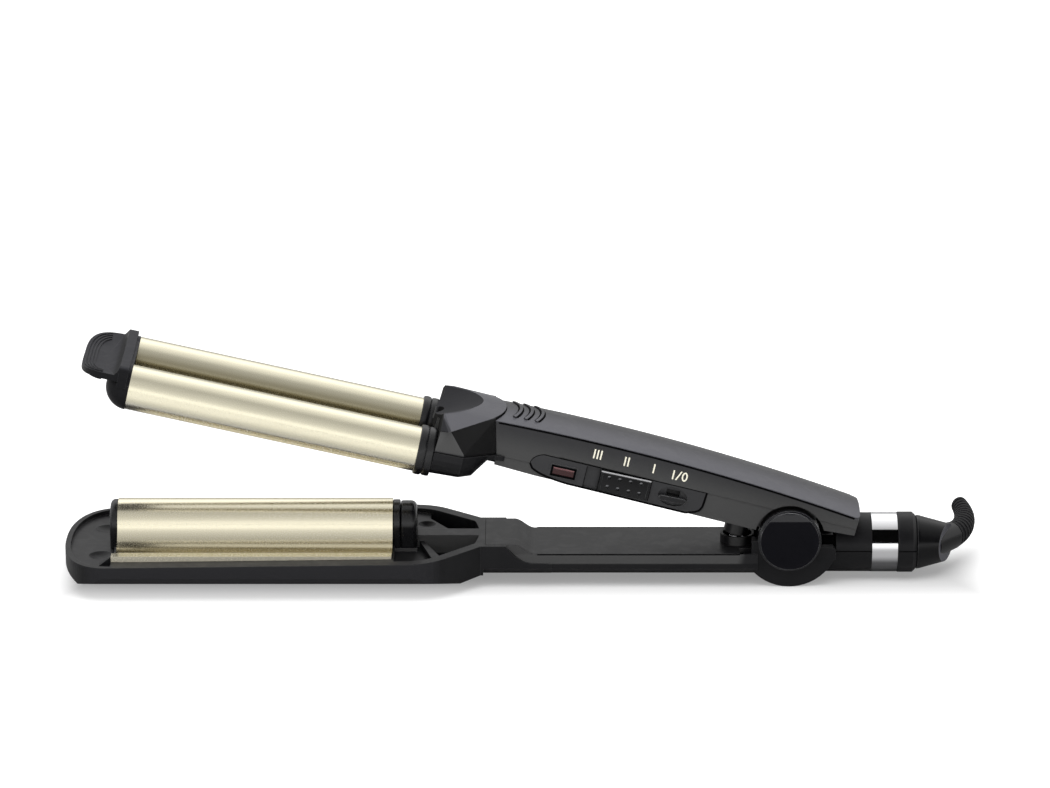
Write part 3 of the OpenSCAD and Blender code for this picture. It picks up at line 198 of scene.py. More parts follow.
def buildSettledDust():
    # thin pale dust on faces that look up, and in patches
    t = dustTexture
    group, given, out = newGroup(
        "settledDust",
        [("Colour", colourKind, darkTone), ("Amount", numberKind, 0.04)],
        [("Colour", colourKind)])
    upward = addNode(group, "ShaderNodeSeparateXYZ", {0: surfaceNormal(group)}).outputs["Z"]
    patch = noise(group, objectPlace(group), *t["patch"])
    cover = mapRange(group, upward, *t["upwardBand"], 0.0, given.outputs["Amount"])
    mask = mathNode(group, "MULTIPLY", cover, mapRange(group, patch, *t["patchBand"], t["thinnest"], 1.0))
    connect(group, out, {"Colour": mixColour(group, mask, given.outputs["Colour"], t["dustTone"])})
    return group


wearAndHighlightTexture = {
    "rubbed": (160.0, 3.0), "rubbedBand": (0.3, 0.6), "least": 0.5, "turnBand": (0.995, 0.93),
    "wornAndHighlightTone": (0.3, 0.3, 0.31, 1),
}


def buildEdgeWearAndHighlight():
    # edges a little lighter where the rounded normal turns away from the face: rubbed wear, and where the
    # amount is large a painted highlight line along the rims
    t = wearAndHighlightTexture
    group, given, out = newGroup(
        "edgeWearAndHighlight",
        [("Colour", colourKind, darkTone), ("Edge Normal", vectorKind, (0, 0, 1)),
         ("Amount", numberKind, 0.2), ("Wear And Highlight Colour", colourKind, t["wornAndHighlightTone"])],
        [("Colour", colourKind)])
    match = addNode(group, "ShaderNodeVectorMath", {
        0: given.outputs["Edge Normal"], 1: surfaceNormal(group)}, operation="DOT_PRODUCT").outputs["Value"]
    rubbed = noise(group, objectPlace(group), *t["rubbed"])
    edge = mapRange(group, match, *t["turnBand"], 0.0, given.outputs["Amount"])
    mask = mathNode(group, "MULTIPLY", edge, mapRange(group, rubbed, *t["rubbedBand"], t["least"], 1.0))
    connect(group, out, {
        "Colour": mixColour(group, mask, given.outputs["Colour"], given.outputs["Wear And Highlight Colour"])})
    return group


def buildArmPlace():
    # where a point lies, in mm: along the closed upper arm and above its hinge axis, across from the
    # middle, toward the front and above the table; and how far its face turns to a side, to the cord
    # end and up
    labels = ("Along", "Height", "Across", "Nearward", "Level", "Sideways", "Endward", "Upward")
    group, given, out = newGroup("armPlace", [], [(label, numberKind) for label in labels])
    coords = addNode(group, "ShaderNodeTexCoord").outputs
    closed = addNode(group, "ShaderNodeVectorRotate", {
        "Vector": coords["Object"], "Center": (hingeX * mm, 0, hingeZ * mm), "Angle": -openAngle},
        rotation_type="Y_AXIS").outputs["Vector"]
    closedParts, stillParts, facing = (addNode(group, "ShaderNodeSeparateXYZ", {0: vector}).outputs
                                       for vector in (closed, coords["Object"], coords["Normal"]))
    across = mathNode(group, "MULTIPLY", stillParts["Y"], perMetre)
    aboveTable = mathNode(group, "MULTIPLY", closedParts["Z"], perMetre)
    connect(group, out, {
        "Along": mathNode(group, "MULTIPLY", closedParts["X"], perMetre),
        "Height": mathNode(group, "SUBTRACT", aboveTable, hingeZ),
        "Across": mathNode(group, "ABSOLUTE", across),
        "Nearward": mathNode(group, "MULTIPLY", across, -1.0),
        "Level": mathNode(group, "MULTIPLY", stillParts["Z"], perMetre),
        "Sideways": mathNode(group, "ABSOLUTE", facing["Y"]),
        "Endward": facing["X"], "Upward": facing["Z"]})
    return group


mouldGrain = buildMouldGrain()
coatingGrain = buildCoatingGrain()
settledDust = buildSettledDust()
edgeWearAndHighlight = buildEdgeWearAndHighlight()
armPlace = buildArmPlace()
print("surface groups built")


# materials

def newMaterial(name):
    material = bpy.data.materials.new(name)
    material.use_nodes = True
    tree = material.node_tree
    return material, tree, tree.nodes["Principled BSDF"]


def paintLightAndShade(tree, values, patches):
    # painted light and shade: lighter, darker, rougher or less metallic areas, each faded over ranges of
    # place or facing
    if not patches:
        return values
    place = addNode(tree, "ShaderNodeGroup", node_tree=armPlace)
    for patch in patches:
        mask = None
        for label, start, end in patch["where"]:
            part = mapRange(tree, place.outputs[label], start, end, blend="SMOOTHSTEP")
            mask = part if mask is None else mathNode(tree, "MULTIPLY", mask, part)
        for key in ("roughness", "metallic"):
            if key in patch:
                values[key] = mixValue(tree, mask, values[key], patch[key])
        values["colour"] = mixColour(tree, mask, values["colour"], patch["colour"])
    return values


plasticSurface = {"grainDepth": 0.00008, "bevelSamples": 4, "coatRoughness": 0.12}  # depth in metres


def plasticMaterial(name, look):
    material, tree, shader = newMaterial(name)
    grain = addNode(tree, "ShaderNodeGroup", {
        "Base Colour": look["colour"], "Tone Spread": look["toneSpread"], "Roughness": look["roughness"],
        "Smudge": look["smudge"], "Grain Size": look["grainSize"]}, node_tree=mouldGrain).outputs
    rounded = addNode(tree, "ShaderNodeBevel", {"Radius": look["edge"] * mm},
                      samples=plasticSurface["bevelSamples"]).outputs["Normal"]
    values = paintLightAndShade(tree, {"colour": grain["Colour"], "roughness": grain["Roughness"]},
                         look.get("patches"))
    wornAndLitEdges = addNode(tree, "ShaderNodeGroup", {"Colour": values["colour"], "Edge Normal": rounded,
                                             "Amount": look["wearAndHighlight"]}, node_tree=edgeWearAndHighlight)
    dusty = addNode(tree, "ShaderNodeGroup", {"Colour": wornAndLitEdges.outputs["Colour"], "Amount": look["dust"]},
                    node_tree=settledDust)
    bump = addNode(tree, "ShaderNodeBump", {"Height": grain["Height"], "Strength": look["bump"],
                                            "Distance": plasticSurface["grainDepth"], "Normal": rounded})
    connect(tree, shader, {"Base Color": dusty.outputs["Colour"], "Roughness": values["roughness"],
                           "Normal": bump.outputs["Normal"]})
    shader.inputs["Specular IOR Level"].default_value = look["specular"]
    shader.inputs["Coat Weight"].default_value = look.get("coat", 0.0)
    shader.inputs["Coat Roughness"].default_value = plasticSurface["coatRoughness"]
    shader.inputs["Emission Color"].default_value = look["colour"]
    shader.inputs["Emission Strength"].default_value = look.get("glow", 0.0)
    return material


metalSurface = {"grainDepth": 0.00005}


def metalMaterial(name, look):
    material, tree, shader = newMaterial(name)
    grain = addNode(tree, "ShaderNodeGroup", {
        "Base Colour": look["colour"], "Streaks": look["streaks"], "Roughness": look["roughness"],
        "Specks": look["specks"]}, node_tree=coatingGrain).outputs
    bump = addNode(tree, "ShaderNodeBump", {"Height": grain["Height"], "Strength": look["bump"],
                                            "Distance": metalSurface["grainDepth"]})
    values = paintLightAndShade(tree, {"colour": grain["Colour"], "roughness": grain["Roughness"],
                                "metallic": look["metallic"]}, look.get("patches"))
    connect(tree, shader, {"Base Color": values["colour"], "Roughness": values["roughness"],
                           "Normal": bump.outputs["Normal"]})
    if hasattr(values["metallic"], "is_output"):
        connect(tree, shader, {"Metallic": values["metallic"]})
    else:
        shader.inputs["Metallic"].default_value = values["metallic"]
    return material


# grain size and edge radius in mm; a patch of painted light or shade has its look and the ranges over which
# it grows to full

plasticLooks = {
    "armPlastic": {
        "colour": srgb(34, 34, 37), "toneSpread": 0.015, "roughness": 0.42, "smudge": 0.06,
        "grainSize": 0.35, "bump": 0.25, "specular": 0.42, "dust": 0.01, "edge": 0.3, "wearAndHighlight": 0.12,
        "patches": [
            # painted light: side walls painted lighter toward the lower edge
            {"where": [("Height", 23.5, 11.0), ("Sideways", 0.8, 0.95)], "colour": srgb(70, 70, 70)},
            # painted light: top painted lighter toward the side with the controls
            {"where": [("Nearward", -12.0, 13.0), ("Upward", 0.6, 0.8)], "colour": srgb(84, 84, 91)},
        ],
    },
    "panelPlastic": {
        "colour": srgb(44, 44, 46), "toneSpread": 0.015, "roughness": 0.42, "smudge": 0.06,
        "grainSize": 0.35, "bump": 0.2, "specular": 0.42, "dust": 0.01, "edge": 0.25, "wearAndHighlight": 0.25,
    },
    "trayPlastic": {
        "colour": srgb(16, 16, 18), "toneSpread": 0.012, "roughness": 0.42, "smudge": 0.06,
        "grainSize": 0.35, "bump": 0.2, "specular": 0.22, "dust": 0.01, "edge": 0.35, "wearAndHighlight": 0.1,
        "patches": [
            # painted light: sides of the panel on the grip painted lighter
            {"where": [("Level", 10.4, 11.2), ("Across", 18.7, 18.4),
                       ("Sideways", 0.8, 0.95), ("Along", 97.0, 93.0)],
             "colour": srgb(72, 72, 72)},
            # painted light: outer side of the tray painted lighter
            {"where": [("Across", 33.0, 36.0), ("Sideways", 0.7, 0.95)], "colour": srgb(36, 36, 39)},
        ],
    },
    "headPlastic": {
        "colour": srgb(34, 34, 38), "toneSpread": 0.012, "roughness": 0.38, "smudge": 0.06,
        "grainSize": 0.35, "bump": 0.15, "specular": 0.28, "dust": 0.012, "edge": 0.35, "wearAndHighlight": 0.12,
        "patches": [
            # painted light: top and bevels painted lighter
            {"where": [("Sideways", 0.6, 0.45), ("Upward", 0.6, 0.8)], "colour": srgb(88, 88, 94)},
            # painted shade: thumb scoop painted darker and rougher
            {"where": [("Endward", 0.12, -0.04), ("Upward", 0.5, 0.7)],
             "colour": srgb(28, 28, 32), "roughness": 0.75},
            # painted shade: wall toward the barrels painted near black
            {"where": [("Endward", -0.3, -0.55)], "colour": srgb(5, 5, 6), "roughness": 0.95},
            # painted light: facet on the side painted lighter
            {"where": [("Sideways", 0.9, 0.97), ("Height", 9.5, 10.5)], "colour": srgb(88, 88, 88)},
            # painted shade: recess beside the arm painted near black
            {"where": [("Endward", 0.3, 0.48), ("Height", 9.0, 10.0)], "colour": srgb(3, 3, 4)},
        ],
    },
    "headBasePlastic": {
        "colour": srgb(13, 13, 16), "toneSpread": 0.012, "roughness": 0.36, "smudge": 0.06,
        "grainSize": 0.35, "bump": 0.12, "specular": 0.24, "dust": 0.012, "edge": 0.35, "wearAndHighlight": 0.14,
    },
    "sliderPlastic": {
        "colour": srgb(10, 10, 12), "toneSpread": 0.006, "roughness": 0.2, "smudge": 0.06, "grainSize": 0.5,
        "bump": 0.04, "specular": 0.22, "dust": 0.006, "edge": 0.25, "wearAndHighlight": 0.3,
        "patches": [
            # painted highlight: bright line on the bevel at the top
            {"where": [("Height", 12.2, 12.4), ("Sideways", 0.98, 0.9), ("Upward", 0.9, 0.75)],
             "colour": srgb(190, 190, 192)},
            # painted highlight: upper sides of the grip dots painted light as glints
            {"where": [("Upward", 0.3, 0.6), ("Height", 11.6, 11.0), ("Sideways", 0.3, 0.5)],
             "colour": srgb(118, 118, 121)},
        ],
    },
    "tipPlastic": {
        "colour": srgb(12, 12, 15), "toneSpread": 0.01, "roughness": 0.5, "smudge": 0.06, "grainSize": 0.35,
        "bump": 0.2, "specular": 0.16, "dust": 0.008, "edge": 0.35, "wearAndHighlight": 0.12,
        "patches": [
            # painted light: faces that look up painted lighter
            {"where": [("Upward", 0.75, 0.9)], "colour": srgb(38, 38, 43)},
        ],
    },
    # painted highlight: the large edge amount lightens the rims of the power slide into highlight lines
    "powerPlastic": {
        "colour": srgb(20, 20, 22), "toneSpread": 0.006, "roughness": 0.3, "smudge": 0.06, "grainSize": 0.5,
        "bump": 0.04, "specular": 0.3, "dust": 0.006, "edge": 0.5, "wearAndHighlight": 0.6,
    },
    # painted highlight: the large edge amount lightens the rims of the hinge caps into a highlight line
    "capPlastic": {
        "colour": srgb(24, 24, 28), "toneSpread": 0.004, "roughness": 0.12, "smudge": 0.04,
        "grainSize": 0.5, "bump": 0.03, "specular": 0.36, "dust": 0.004, "edge": 0.3, "wearAndHighlight": 0.6,
    },
    "conePlastic": {
        "colour": srgb(10, 10, 12), "toneSpread": 0.004, "roughness": 0.24, "smudge": 0.04,
        "grainSize": 0.5, "bump": 0.03, "specular": 0.24, "dust": 0.004, "edge": 0.3, "wearAndHighlight": 0.35,
        "patches": [
            # painted light: slanted end face painted lighter
            {"where": [("Endward", 0.78, 0.86)], "colour": srgb(80, 80, 88)},
        ],
    },
    "collarPlastic": {
        "colour": srgb(16, 16, 18), "toneSpread": 0.008, "roughness": 0.28, "smudge": 0.05,
        "grainSize": 0.4, "bump": 0.06, "specular": 0.42, "dust": 0.008, "edge": 0.3, "wearAndHighlight": 0.12,
    },
    "bootRubber": {
        "colour": srgb(14, 14, 16), "toneSpread": 0.012, "roughness": 0.55, "smudge": 0.05,
        "grainSize": 0.25, "bump": 0.12, "specular": 0.16, "dust": 0.012, "edge": 0.2, "wearAndHighlight": 0.3,
    },
    "seamShadow": {
        "colour": srgb(4, 4, 5), "toneSpread": 0.0, "roughness": 0.7, "smudge": 0.0, "grainSize": 0.5,
        "bump": 0.0, "specular": 0.05, "dust": 0.0, "edge": 0.02, "wearAndHighlight": 0.0,
    },
    "lampRed": {
        "colour": srgb(58, 16, 18), "toneSpread": 0.02, "roughness": 0.16, "smudge": 0.03, "grainSize": 0.5,
        "bump": 0.0, "specular": 0.3, "dust": 0.0, "edge": 0.25, "wearAndHighlight": 0.5, "coat": 0.1,
        "patches": [
            # painted highlight: upper edge of the lens painted pale
            {"where": [("Height", 8.7, 9.7)], "colour": srgb(172, 122, 124)},
        ],
    },
    "printCream": {
        "colour": srgb(250, 246, 226), "toneSpread": 0.0, "roughness": 0.5, "smudge": 0.02,
        "grainSize": 0.3, "bump": 0.0, "specular": 0.3, "dust": 0.0, "edge": 0.05, "wearAndHighlight": 0.0,
        # painted light: the print glows a little in its own colour
        "glow": 0.35,
    },
    "insulatorBoard": {
        "colour": srgb(214, 208, 190), "toneSpread": 0.1, "roughness": 0.75, "smudge": 0.05,
        "grainSize": 0.8, "bump": 0.3, "specular": 0.3, "dust": 0.02, "edge": 0.2, "wearAndHighlight": 0.1,
    },
    "circuitGreen": {
        "colour": srgb(26, 84, 44), "toneSpread": 0.06, "roughness": 0.35, "smudge": 0.05, "grainSize": 0.6,
        "bump": 0.1, "specular": 0.5, "dust": 0.02, "edge": 0.1, "wearAndHighlight": 0.1,
    },
    "heaterFilm": {
        "colour": srgb(186, 120, 52), "toneSpread": 0.08, "roughness": 0.3, "smudge": 0.05,
        "grainSize": 0.9, "bump": 0.1, "specular": 0.5, "dust": 0.0, "edge": 0.1, "wearAndHighlight": 0.1,
    },
}

metalLooks = {
    "goldCoating": {
        "colour": srgb(239, 233, 208), "streaks": 0.06, "roughness": 0.21, "specks": 0.08, "bump": 0.045,
        "metallic": 1.0,
        "patches": [
            # painted light: undersides painted paler
            {"where": [("Upward", -0.25, -0.7)], "colour": srgb(254, 250, 240)},
            # painted shade: valley between the barrels painted darker
            {"where": [("Height", 13.8, 9.6), ("Across", 20.0, 16.0), ("Height", -6.0, -3.0)],
             "colour": srgb(150, 143, 119)},
        ],
    },
    "plateCoating": {
        "colour": srgb(238, 231, 206), "streaks": 0.05, "roughness": 0.22, "specks": 0.07, "bump": 0.04,
        "metallic": 1.0,
        "patches": [
            # painted shade: troughs painted darker
            {"where": [("Across", 10.5, 17.5), ("Across", 28.0, 22.0)], "colour": srgb(178, 168, 138)},
            # painted light: lips along the rim painted pale and almost not metallic, so they look lit
            {"where": [("Sideways", 0.8, 0.95), ("Across", 30.0, 32.0)],
             "colour": srgb(250, 243, 222), "metallic": 0.1},
        ],
    },
    "ringChrome": {
        "colour": srgb(242, 242, 244), "streaks": 0.02, "roughness": 0.08, "specks": 0.02, "bump": 0.01,
        "metallic": 1.0,
        "patches": [
            # painted shade: lower half, toward the table, painted darker
            {"where": [("Level", 12.5, 8.5)], "colour": srgb(118, 118, 120)},
        ],
    },
    "springSteel": {
        "colour": srgb(196, 196, 200), "streaks": 0.08, "roughness": 0.22, "specks": 0.06, "bump": 0.02,
        "metallic": 1.0,
    },
    "castAluminium": {
        "colour": srgb(200, 202, 206), "streaks": 0.06, "roughness": 0.4, "specks": 0.1, "bump": 0.1,
        "metallic": 1.0,
    },
}

finishes = {name: plasticMaterial(name, look) for name, look in plasticLooks.items()}
finishes.update({name: metalMaterial(name, look) for name, look in metalLooks.items()})

nodeFinish = {
    "armPlastic": ["upper_shell", "upper_cover"],
    "panelPlastic": ["control_panel"],
    "trayPlastic": ["lower_shell", "lower_cover", "rear_cover", "rear_collar", "spring_cup", "spring_post",
                    "heat_switch", "power_switch"],
    "tipPlastic": ["tip_cap"],
    "headPlastic": ["head_top"],
    "headBasePlastic": ["head_base"],
    "sliderPlastic": ["heat_slider"],
    "powerPlastic": ["power_slide"],
    "capPlastic": ["hinge_cap_front", "hinge_cap_back"],
    "conePlastic": ["cord_swivel"],
    "collarPlastic": ["plate_tip_collar", "plate_heel_ring", "plate_heel_collar", "barrel_rings"],
    "bootRubber": ["cord_boot"],
    "insulatorBoard": ["plate_support"],
    "circuitGreen": ["circuit_board"],
    "heaterFilm": ["plate_heater"],
    "goldCoating": ["front_barrel", "rear_barrel"],
    "plateCoating": ["wave_plate"],
    "ringChrome": ["chrome_ring"],
    "springSteel": ["return_spring", "hinge_pin", "lower_screws", "upper_screws", "thermal_fuse"],
    "castAluminium": ["plate_heat_block", "front_heater", "rear_heater"],
    "lampRed": ["lamp_lens", "lamp_led"],
}
for finish, nodes in nodeFinish.items():
    for node in nodes:
        piece = frame["nodes"][node]
        piece.data.materials.clear()
        piece.data.materials.append(finishes[finish])
print("materials placed on", sum(len(nodes) for nodes in nodeFinish.values()), "nodes")


# mesh helpers

weldReach = 1e-7  # metres


def meshPiece(name, build, finish, body):
    mesh = bpy.data.meshes.new(name)
    shape = bmesh.new()
    build(shape)
    bmesh.ops.remove_doubles(shape, verts=shape.verts, dist=weldReach)
    bmesh.ops.recalc_face_normals(shape, faces=shape.faces)
    shape.to_mesh(mesh)
    shape.free()
    mesh.materials.append(finishes[finish])
    piece = bpy.data.objects.new(name, mesh)
    bpy.context.scene.collection.objects.link(piece)
    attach(piece, body)
    return piece


def joinLoops(shape, one, two):
    # band of faces between two closed loops of points
    for i in range(len(one)):
        j = (i + 1) % len(one)
        shape.faces.new([one[i], one[j], two[j], two[i]])


def sweep(shape, rows):
    # closed bar through a row of loops
    for one, two in zip(rows, rows[1:]):
        joinLoops(shape, one, two)
    shape.faces.new(rows[0][::-1])
    shape.faces.new(rows[-1])


def sweepRound(shape, loops):
    # ring whose last loop meets the first
    for one, two in zip(loops, loops[1:] + loops[:1]):
        joinLoops(shape, one, two)


# printed marks of the heat steps and the on/off slide

printedMarks = {
    "height": 4.1, "stroke": 0.62, "gap": 1.45, "face": -15.5, "depth": 0.06, "sink": 0.02,
    "steps": [(25.2, 19.0, 3), (37.8, 18.6, 2), (49.7, 18.1, 1)],  # along, height, bars
    "power": (61.0, 17.3), "bar": -2.7, "slash": -0.4, "slashLean": 0.9,
    "ring": 2.2, "ringWidth": 2.5, "ringSides": 28,
}


def markBar(shape, x, z, lean=0.0):
    m = printedMarks
    halfX, halfZ = m["stroke"] / 2, m["height"] / 2
    sweep(shape, [[shape.verts.new(onUpperArm(x + sx * halfX + sz * lean, y, z + sz * halfZ))
                   for sx, sz in ((-1, -1), (1, -1), (1, 1), (-1, 1))]
                  for y in (m["face"] - m["depth"], m["face"] + m["sink"])])


def markRing(shape, x, z):
    m = printedMarks
    front, back = m["face"] - m["depth"], m["face"] + m["sink"]
    loops = []
    for y, inset in ((front, 0), (front, m["stroke"]), (back, m["stroke"]), (back, 0)):
        halfX, halfZ = m["ringWidth"] / 2 - inset, m["height"] / 2 - inset
        turns = [2 * math.pi * i / m["ringSides"] for i in range(m["ringSides"])]
        loops.append([shape.verts.new(onUpperArm(x + halfX * math.cos(turn), y, z + halfZ * math.sin(turn)))
                      for turn in turns])
    sweepRound(shape, loops)


def buildMarks(shape):
    m = printedMarks
    for x, z, count in m["steps"]:
        for i in range(count):
            markBar(shape, x + (i - (count - 1) / 2) * m["gap"], z)
    x, z = m["power"]
    markBar(shape, x + m["bar"], z)
    markBar(shape, x + m["slash"], z, m["slashLean"])
    markRing(shape, x + m["ring"], z)


marks = meshPiece("heatStepMarks", buildMarks, "printCream", "upper_arm")
print("marks printed")


# dark joint lines between the mouldings: thin strips on the upright walls, half sunk in them

stripDepth = 0.05


def ribbon(shape, points, width, face, toWorld):
    depth = stripDepth if face > 0 else -stripDepth
    rows = []
    for i, point in enumerate(points):
        before = Vector(points[max(i - 1, 0)])
        after = Vector(points[min(i + 1, len(points) - 1)])
        ahead = (after - before).normalized()
        across = Vector((-ahead.y, ahead.x)) * width / 2
        a, b = Vector(point) + across, Vector(point) - across
        rows.append([shape.verts.new(toWorld(q.x, y, q.y)) for q, y in
                     ((a, face + depth), (b, face + depth), (b, face - depth), (a, face - depth))])
    sweep(shape, rows)


coverArch = {"x": 5.0, "top": 24.0, "radius": 1020.0}


def coverLine(x):
    # height of the long arch that the upper arm's cover follows
    c = coverArch
    return c["top"] - c["radius"] + math.sqrt(c["radius"] ** 2 - (x - c["x"]) ** 2)


def ovalArc(centre, radii, start, stop, step=-8):
    # points along an oval, by degrees
    (x, z), (wide, high) = centre, radii
    return [(x + wide * math.cos(math.radians(a)), z + high * math.sin(math.radians(a)))
            for a in range(start, stop, step)]


armSeamLines = {
    "cover": {"from": -18.6, "to": 137.6, "drop": 0.3, "width": 0.75, "face": 15.5, "steps": 60},
    "panelFace": -15.6, "thin": 0.28, "bold": 0.85,
    # edges of the control panel, and the line between its lamp and its slider
    "panelTop": ovalArc((5.5, 9), (7.35, 5.15), 180, 104) + [(74.0, 12.4)],
    "panelLow": [(67, 1.95), (22, 3.3)] + ovalArc((22, 9), (23.85, 5.75), 255, 194) + [(-1.85, 9.0)],
    "panelEnd": [(74.0, 12.5), (73.8, 9.2), (73.5, 6.0), (72.6, 4.2), (71.0, 3.2), (67, 1.95)],
    "divider": [(22.0, 2.9), (22.05, 12.9)],
    "lampFrame": {"centre": (12.7, 8.2), "half": (4.95, 2.0), "width": 0.9, "proud": 0.36},
}


def buildArmSeams(shape):
    lines = armSeamLines
    cover = lines["cover"]
    span = cover["to"] - cover["from"]
    run = [cover["from"] + span * i / cover["steps"] for i in range(cover["steps"] + 1)]
    for face in (-cover["face"], cover["face"]):
        ribbon(shape, [(x, coverLine(x) - cover["drop"]) for x in run], cover["width"], face, onUpperArm)
    for weight, names in (("thin", ("panelTop", "divider")), ("bold", ("panelLow", "panelEnd"))):
        for name in names:
            ribbon(shape, lines[name], lines[weight], lines["panelFace"], onUpperArm)
    lamp = lines["lampFrame"]
    (x, z), (halfX, halfZ) = lamp["centre"], lamp["half"]
    reach = halfZ + lamp["width"] / 2
    for side in (-1, 1):
        for line in ([(x - halfX, z + side * halfZ), (x + halfX, z + side * halfZ)],
                     [(x + side * halfX, z - reach), (x + side * halfX, z + reach)]):
            ribbon(shape, line, lamp["width"], lines["panelFace"] - lamp["proud"], onUpperArm)


lowerSeamLines = {  # each row runs from x to x, on the wall at that distance from the middle
    "tube": {"z": 14.4, "width": 0.42, "rows": [(127.5, 148.2, 12.62), (159.7, 167.2, 12.92)]},
    "grip": {"z": 14.66, "width": 0.5, "rows": [(6.0, 92.0, 17.52)]},
}


def buildLowerSeams(shape):
    for line in lowerSeamLines.values():
        for x0, x1, half in line["rows"]:
            for face in (-half, half):
                ribbon(shape, [(x0, line["z"]), (x1, line["z"])], line["width"], face, onLowerArm)


sliderSeamLines = {"x": (28.12, 50.08), "from": 3.9, "to": 12.8, "width": 0.36, "face": -16.9}


def buildSliderSeams(shape):
    row = sliderSeamLines
    for x in row["x"]:
        ribbon(shape, [(x, row["from"]), (x, row["to"])], row["width"], row["face"], onUpperArm)


armSeams = meshPiece("armSeams", buildArmSeams, "seamShadow", "upper_arm")
lowerSeams = meshPiece("lowerSeams", buildLowerSeams, "seamShadow", "lower_arm")
sliderSeams = meshPiece("sliderSeams", buildSliderSeams, "seamShadow", "heat_slider")
print("joint lines laid")


# polished faces of the hinge caps, with a flat at the top that turns toward the light

capFace = {"radius": 12.75, "seat": 17.98, "rise": 0.78, "edge": 0.3, "flat": 9.0, "sides": 96}


def buildCapFace(side):
    def build(shape):
        c = capFace
        n, innerRadius = c["sides"], c["radius"] - c["edge"]
        top, lean = c["seat"] + c["rise"], c["rise"] / (c["radius"] - c["flat"])

        def vert(x, z, depth):
            depth -= max(z - c["flat"], 0) * lean
            return shape.verts.new(onLowerArm(hingeX + x, side * max(depth, c["seat"]), hingeZ + z))

        def circle(radius, depth):
            turns = [2 * math.pi * i / n for i in range(n)]
            return [vert(radius * math.cos(turn), radius * math.sin(turn), depth) for turn in turns]

        outer = circle(c["radius"], c["seat"])
        ring = circle(innerRadius, top)
        joinLoops(shape, outer, ring)
        # the fold between the round face and the flat runs from left to right
        chord = math.asin(c["flat"] / innerRadius)
        left, right = (vert(way * innerRadius * math.cos(chord), c["flat"], top) for way in (-1, 1))
        above = [i for i in range(n) if chord < 2 * math.pi * i / n < math.pi - chord]
        first, last = above[0], above[-1]
        shape.faces.new([right] + [ring[i] for i in above] + [left])
        shape.faces.new([left] + [ring[i % n] for i in range(last + 1, first + n)] + [right])
        shape.faces.new([ring[first - 1], ring[first], right])
        shape.faces.new([ring[last], ring[last + 1], left])
        shape.faces.new(outer[::-1])
    return build


for name, side in (("capFaceFront", -1), ("capFaceBack", 1)):
    face = meshPiece(name, buildCapFace(side), "capPlastic", "lower_arm")
print("cap faces set")


# painted shade: thin dark sheet round the hinge pin that closes the sight line through the joint, standing in
# for the shade inside it

hingeShadeSheet = {"radius": 14.6, "hole": 4.2, "half": 0.8, "sides": 64}


def buildHingeShadeSheet(shape):
    w = hingeShadeSheet
    turns = [2 * math.pi * i / w["sides"] for i in range(w["sides"])]
    loops = []
    for side, r in ((-1, w["radius"]), (1, w["radius"]), (1, w["hole"]), (-1, w["hole"])):
        y = side * w["half"]
        loops.append([shape.verts.new(onLowerArm(hingeX + r * math.cos(turn), y, hingeZ + r * math.sin(turn)))
                      for turn in turns])
    sweepRound(shape, loops)


hingeShade = meshPiece("hingeShadeSheet", buildHingeShadeSheet, "seamShadow", "lower_arm")
print("hinge shade sheet placed")


# shade inside the curved air slots

ventShade = {
    "firstX": (-9.4, -4.7, 0.0), "centreY": 3, "radius": 26.5, "inner": 0.7, "outer": 1.28,
    "from": -25.2, "to": 23.4, "crown": 1.8, "halfWidth": 15.5, "sink": 0.28, "thickness": 0.3, "steps": 24,
}


def buildVentShade(shape):
    v = ventShade
    crownRadius = (v["halfWidth"] ** 2 + v["crown"] ** 2) / (2 * v["crown"])

    def edge(first, turn, offset):
        # point just under the crowned cover
        r = v["radius"] + offset
        x, y = first - v["radius"] + r * math.cos(turn), v["centreY"] + r * math.sin(turn)
        crownDrop = crownRadius - math.sqrt(crownRadius ** 2 - y ** 2)
        return x, y, coverLine(x) + v["crown"] - crownDrop - v["sink"]

    for first in v["firstX"]:
        for near, far in ((v["inner"], v["outer"]), (-v["outer"], -v["inner"])):
            rows = []
            for i in range(v["steps"] + 1):
                turn = math.radians(v["from"] + (v["to"] - v["from"]) * i / v["steps"])
                (x0, y0, z0), (x1, y1, z1) = edge(first, turn, near), edge(first, turn, far)
                under0, under1 = z0 - v["thickness"], z1 - v["thickness"]
                rows.append([shape.verts.new(onUpperArm(*point)) for point in (
                    (x0, y0, z0), (x1, y1, z1), (x1, y1, under1), (x0, y0, under0))])
            sweep(shape, rows)


vents = meshPiece("ventShade", buildVentShade, "seamShadow", "upper_arm")
print("air slots shaded")


# floor

floorLook = {
    "half": 6.0, "tone": 0.6, "roughness": 0.9,
    # its own light as the camera sees it, weaker near the waver as a painted shade round it, up to full
    # white, and where that fades in mm
    "glow": (0.26, 1.0), "glowY": (4, 55), "glowX": (180, 212),
    "sheen": (0.0, 0.55), "sheenY": (25, 190),  # and as the shiny parts see it, a painted shade in their reflections near the waver
}


def fadeOver(tree, distance, reach, levels):
    return mapRange(tree, distance, reach[0] * mm, reach[1] * mm, *levels, blend="SMOOTHSTEP")


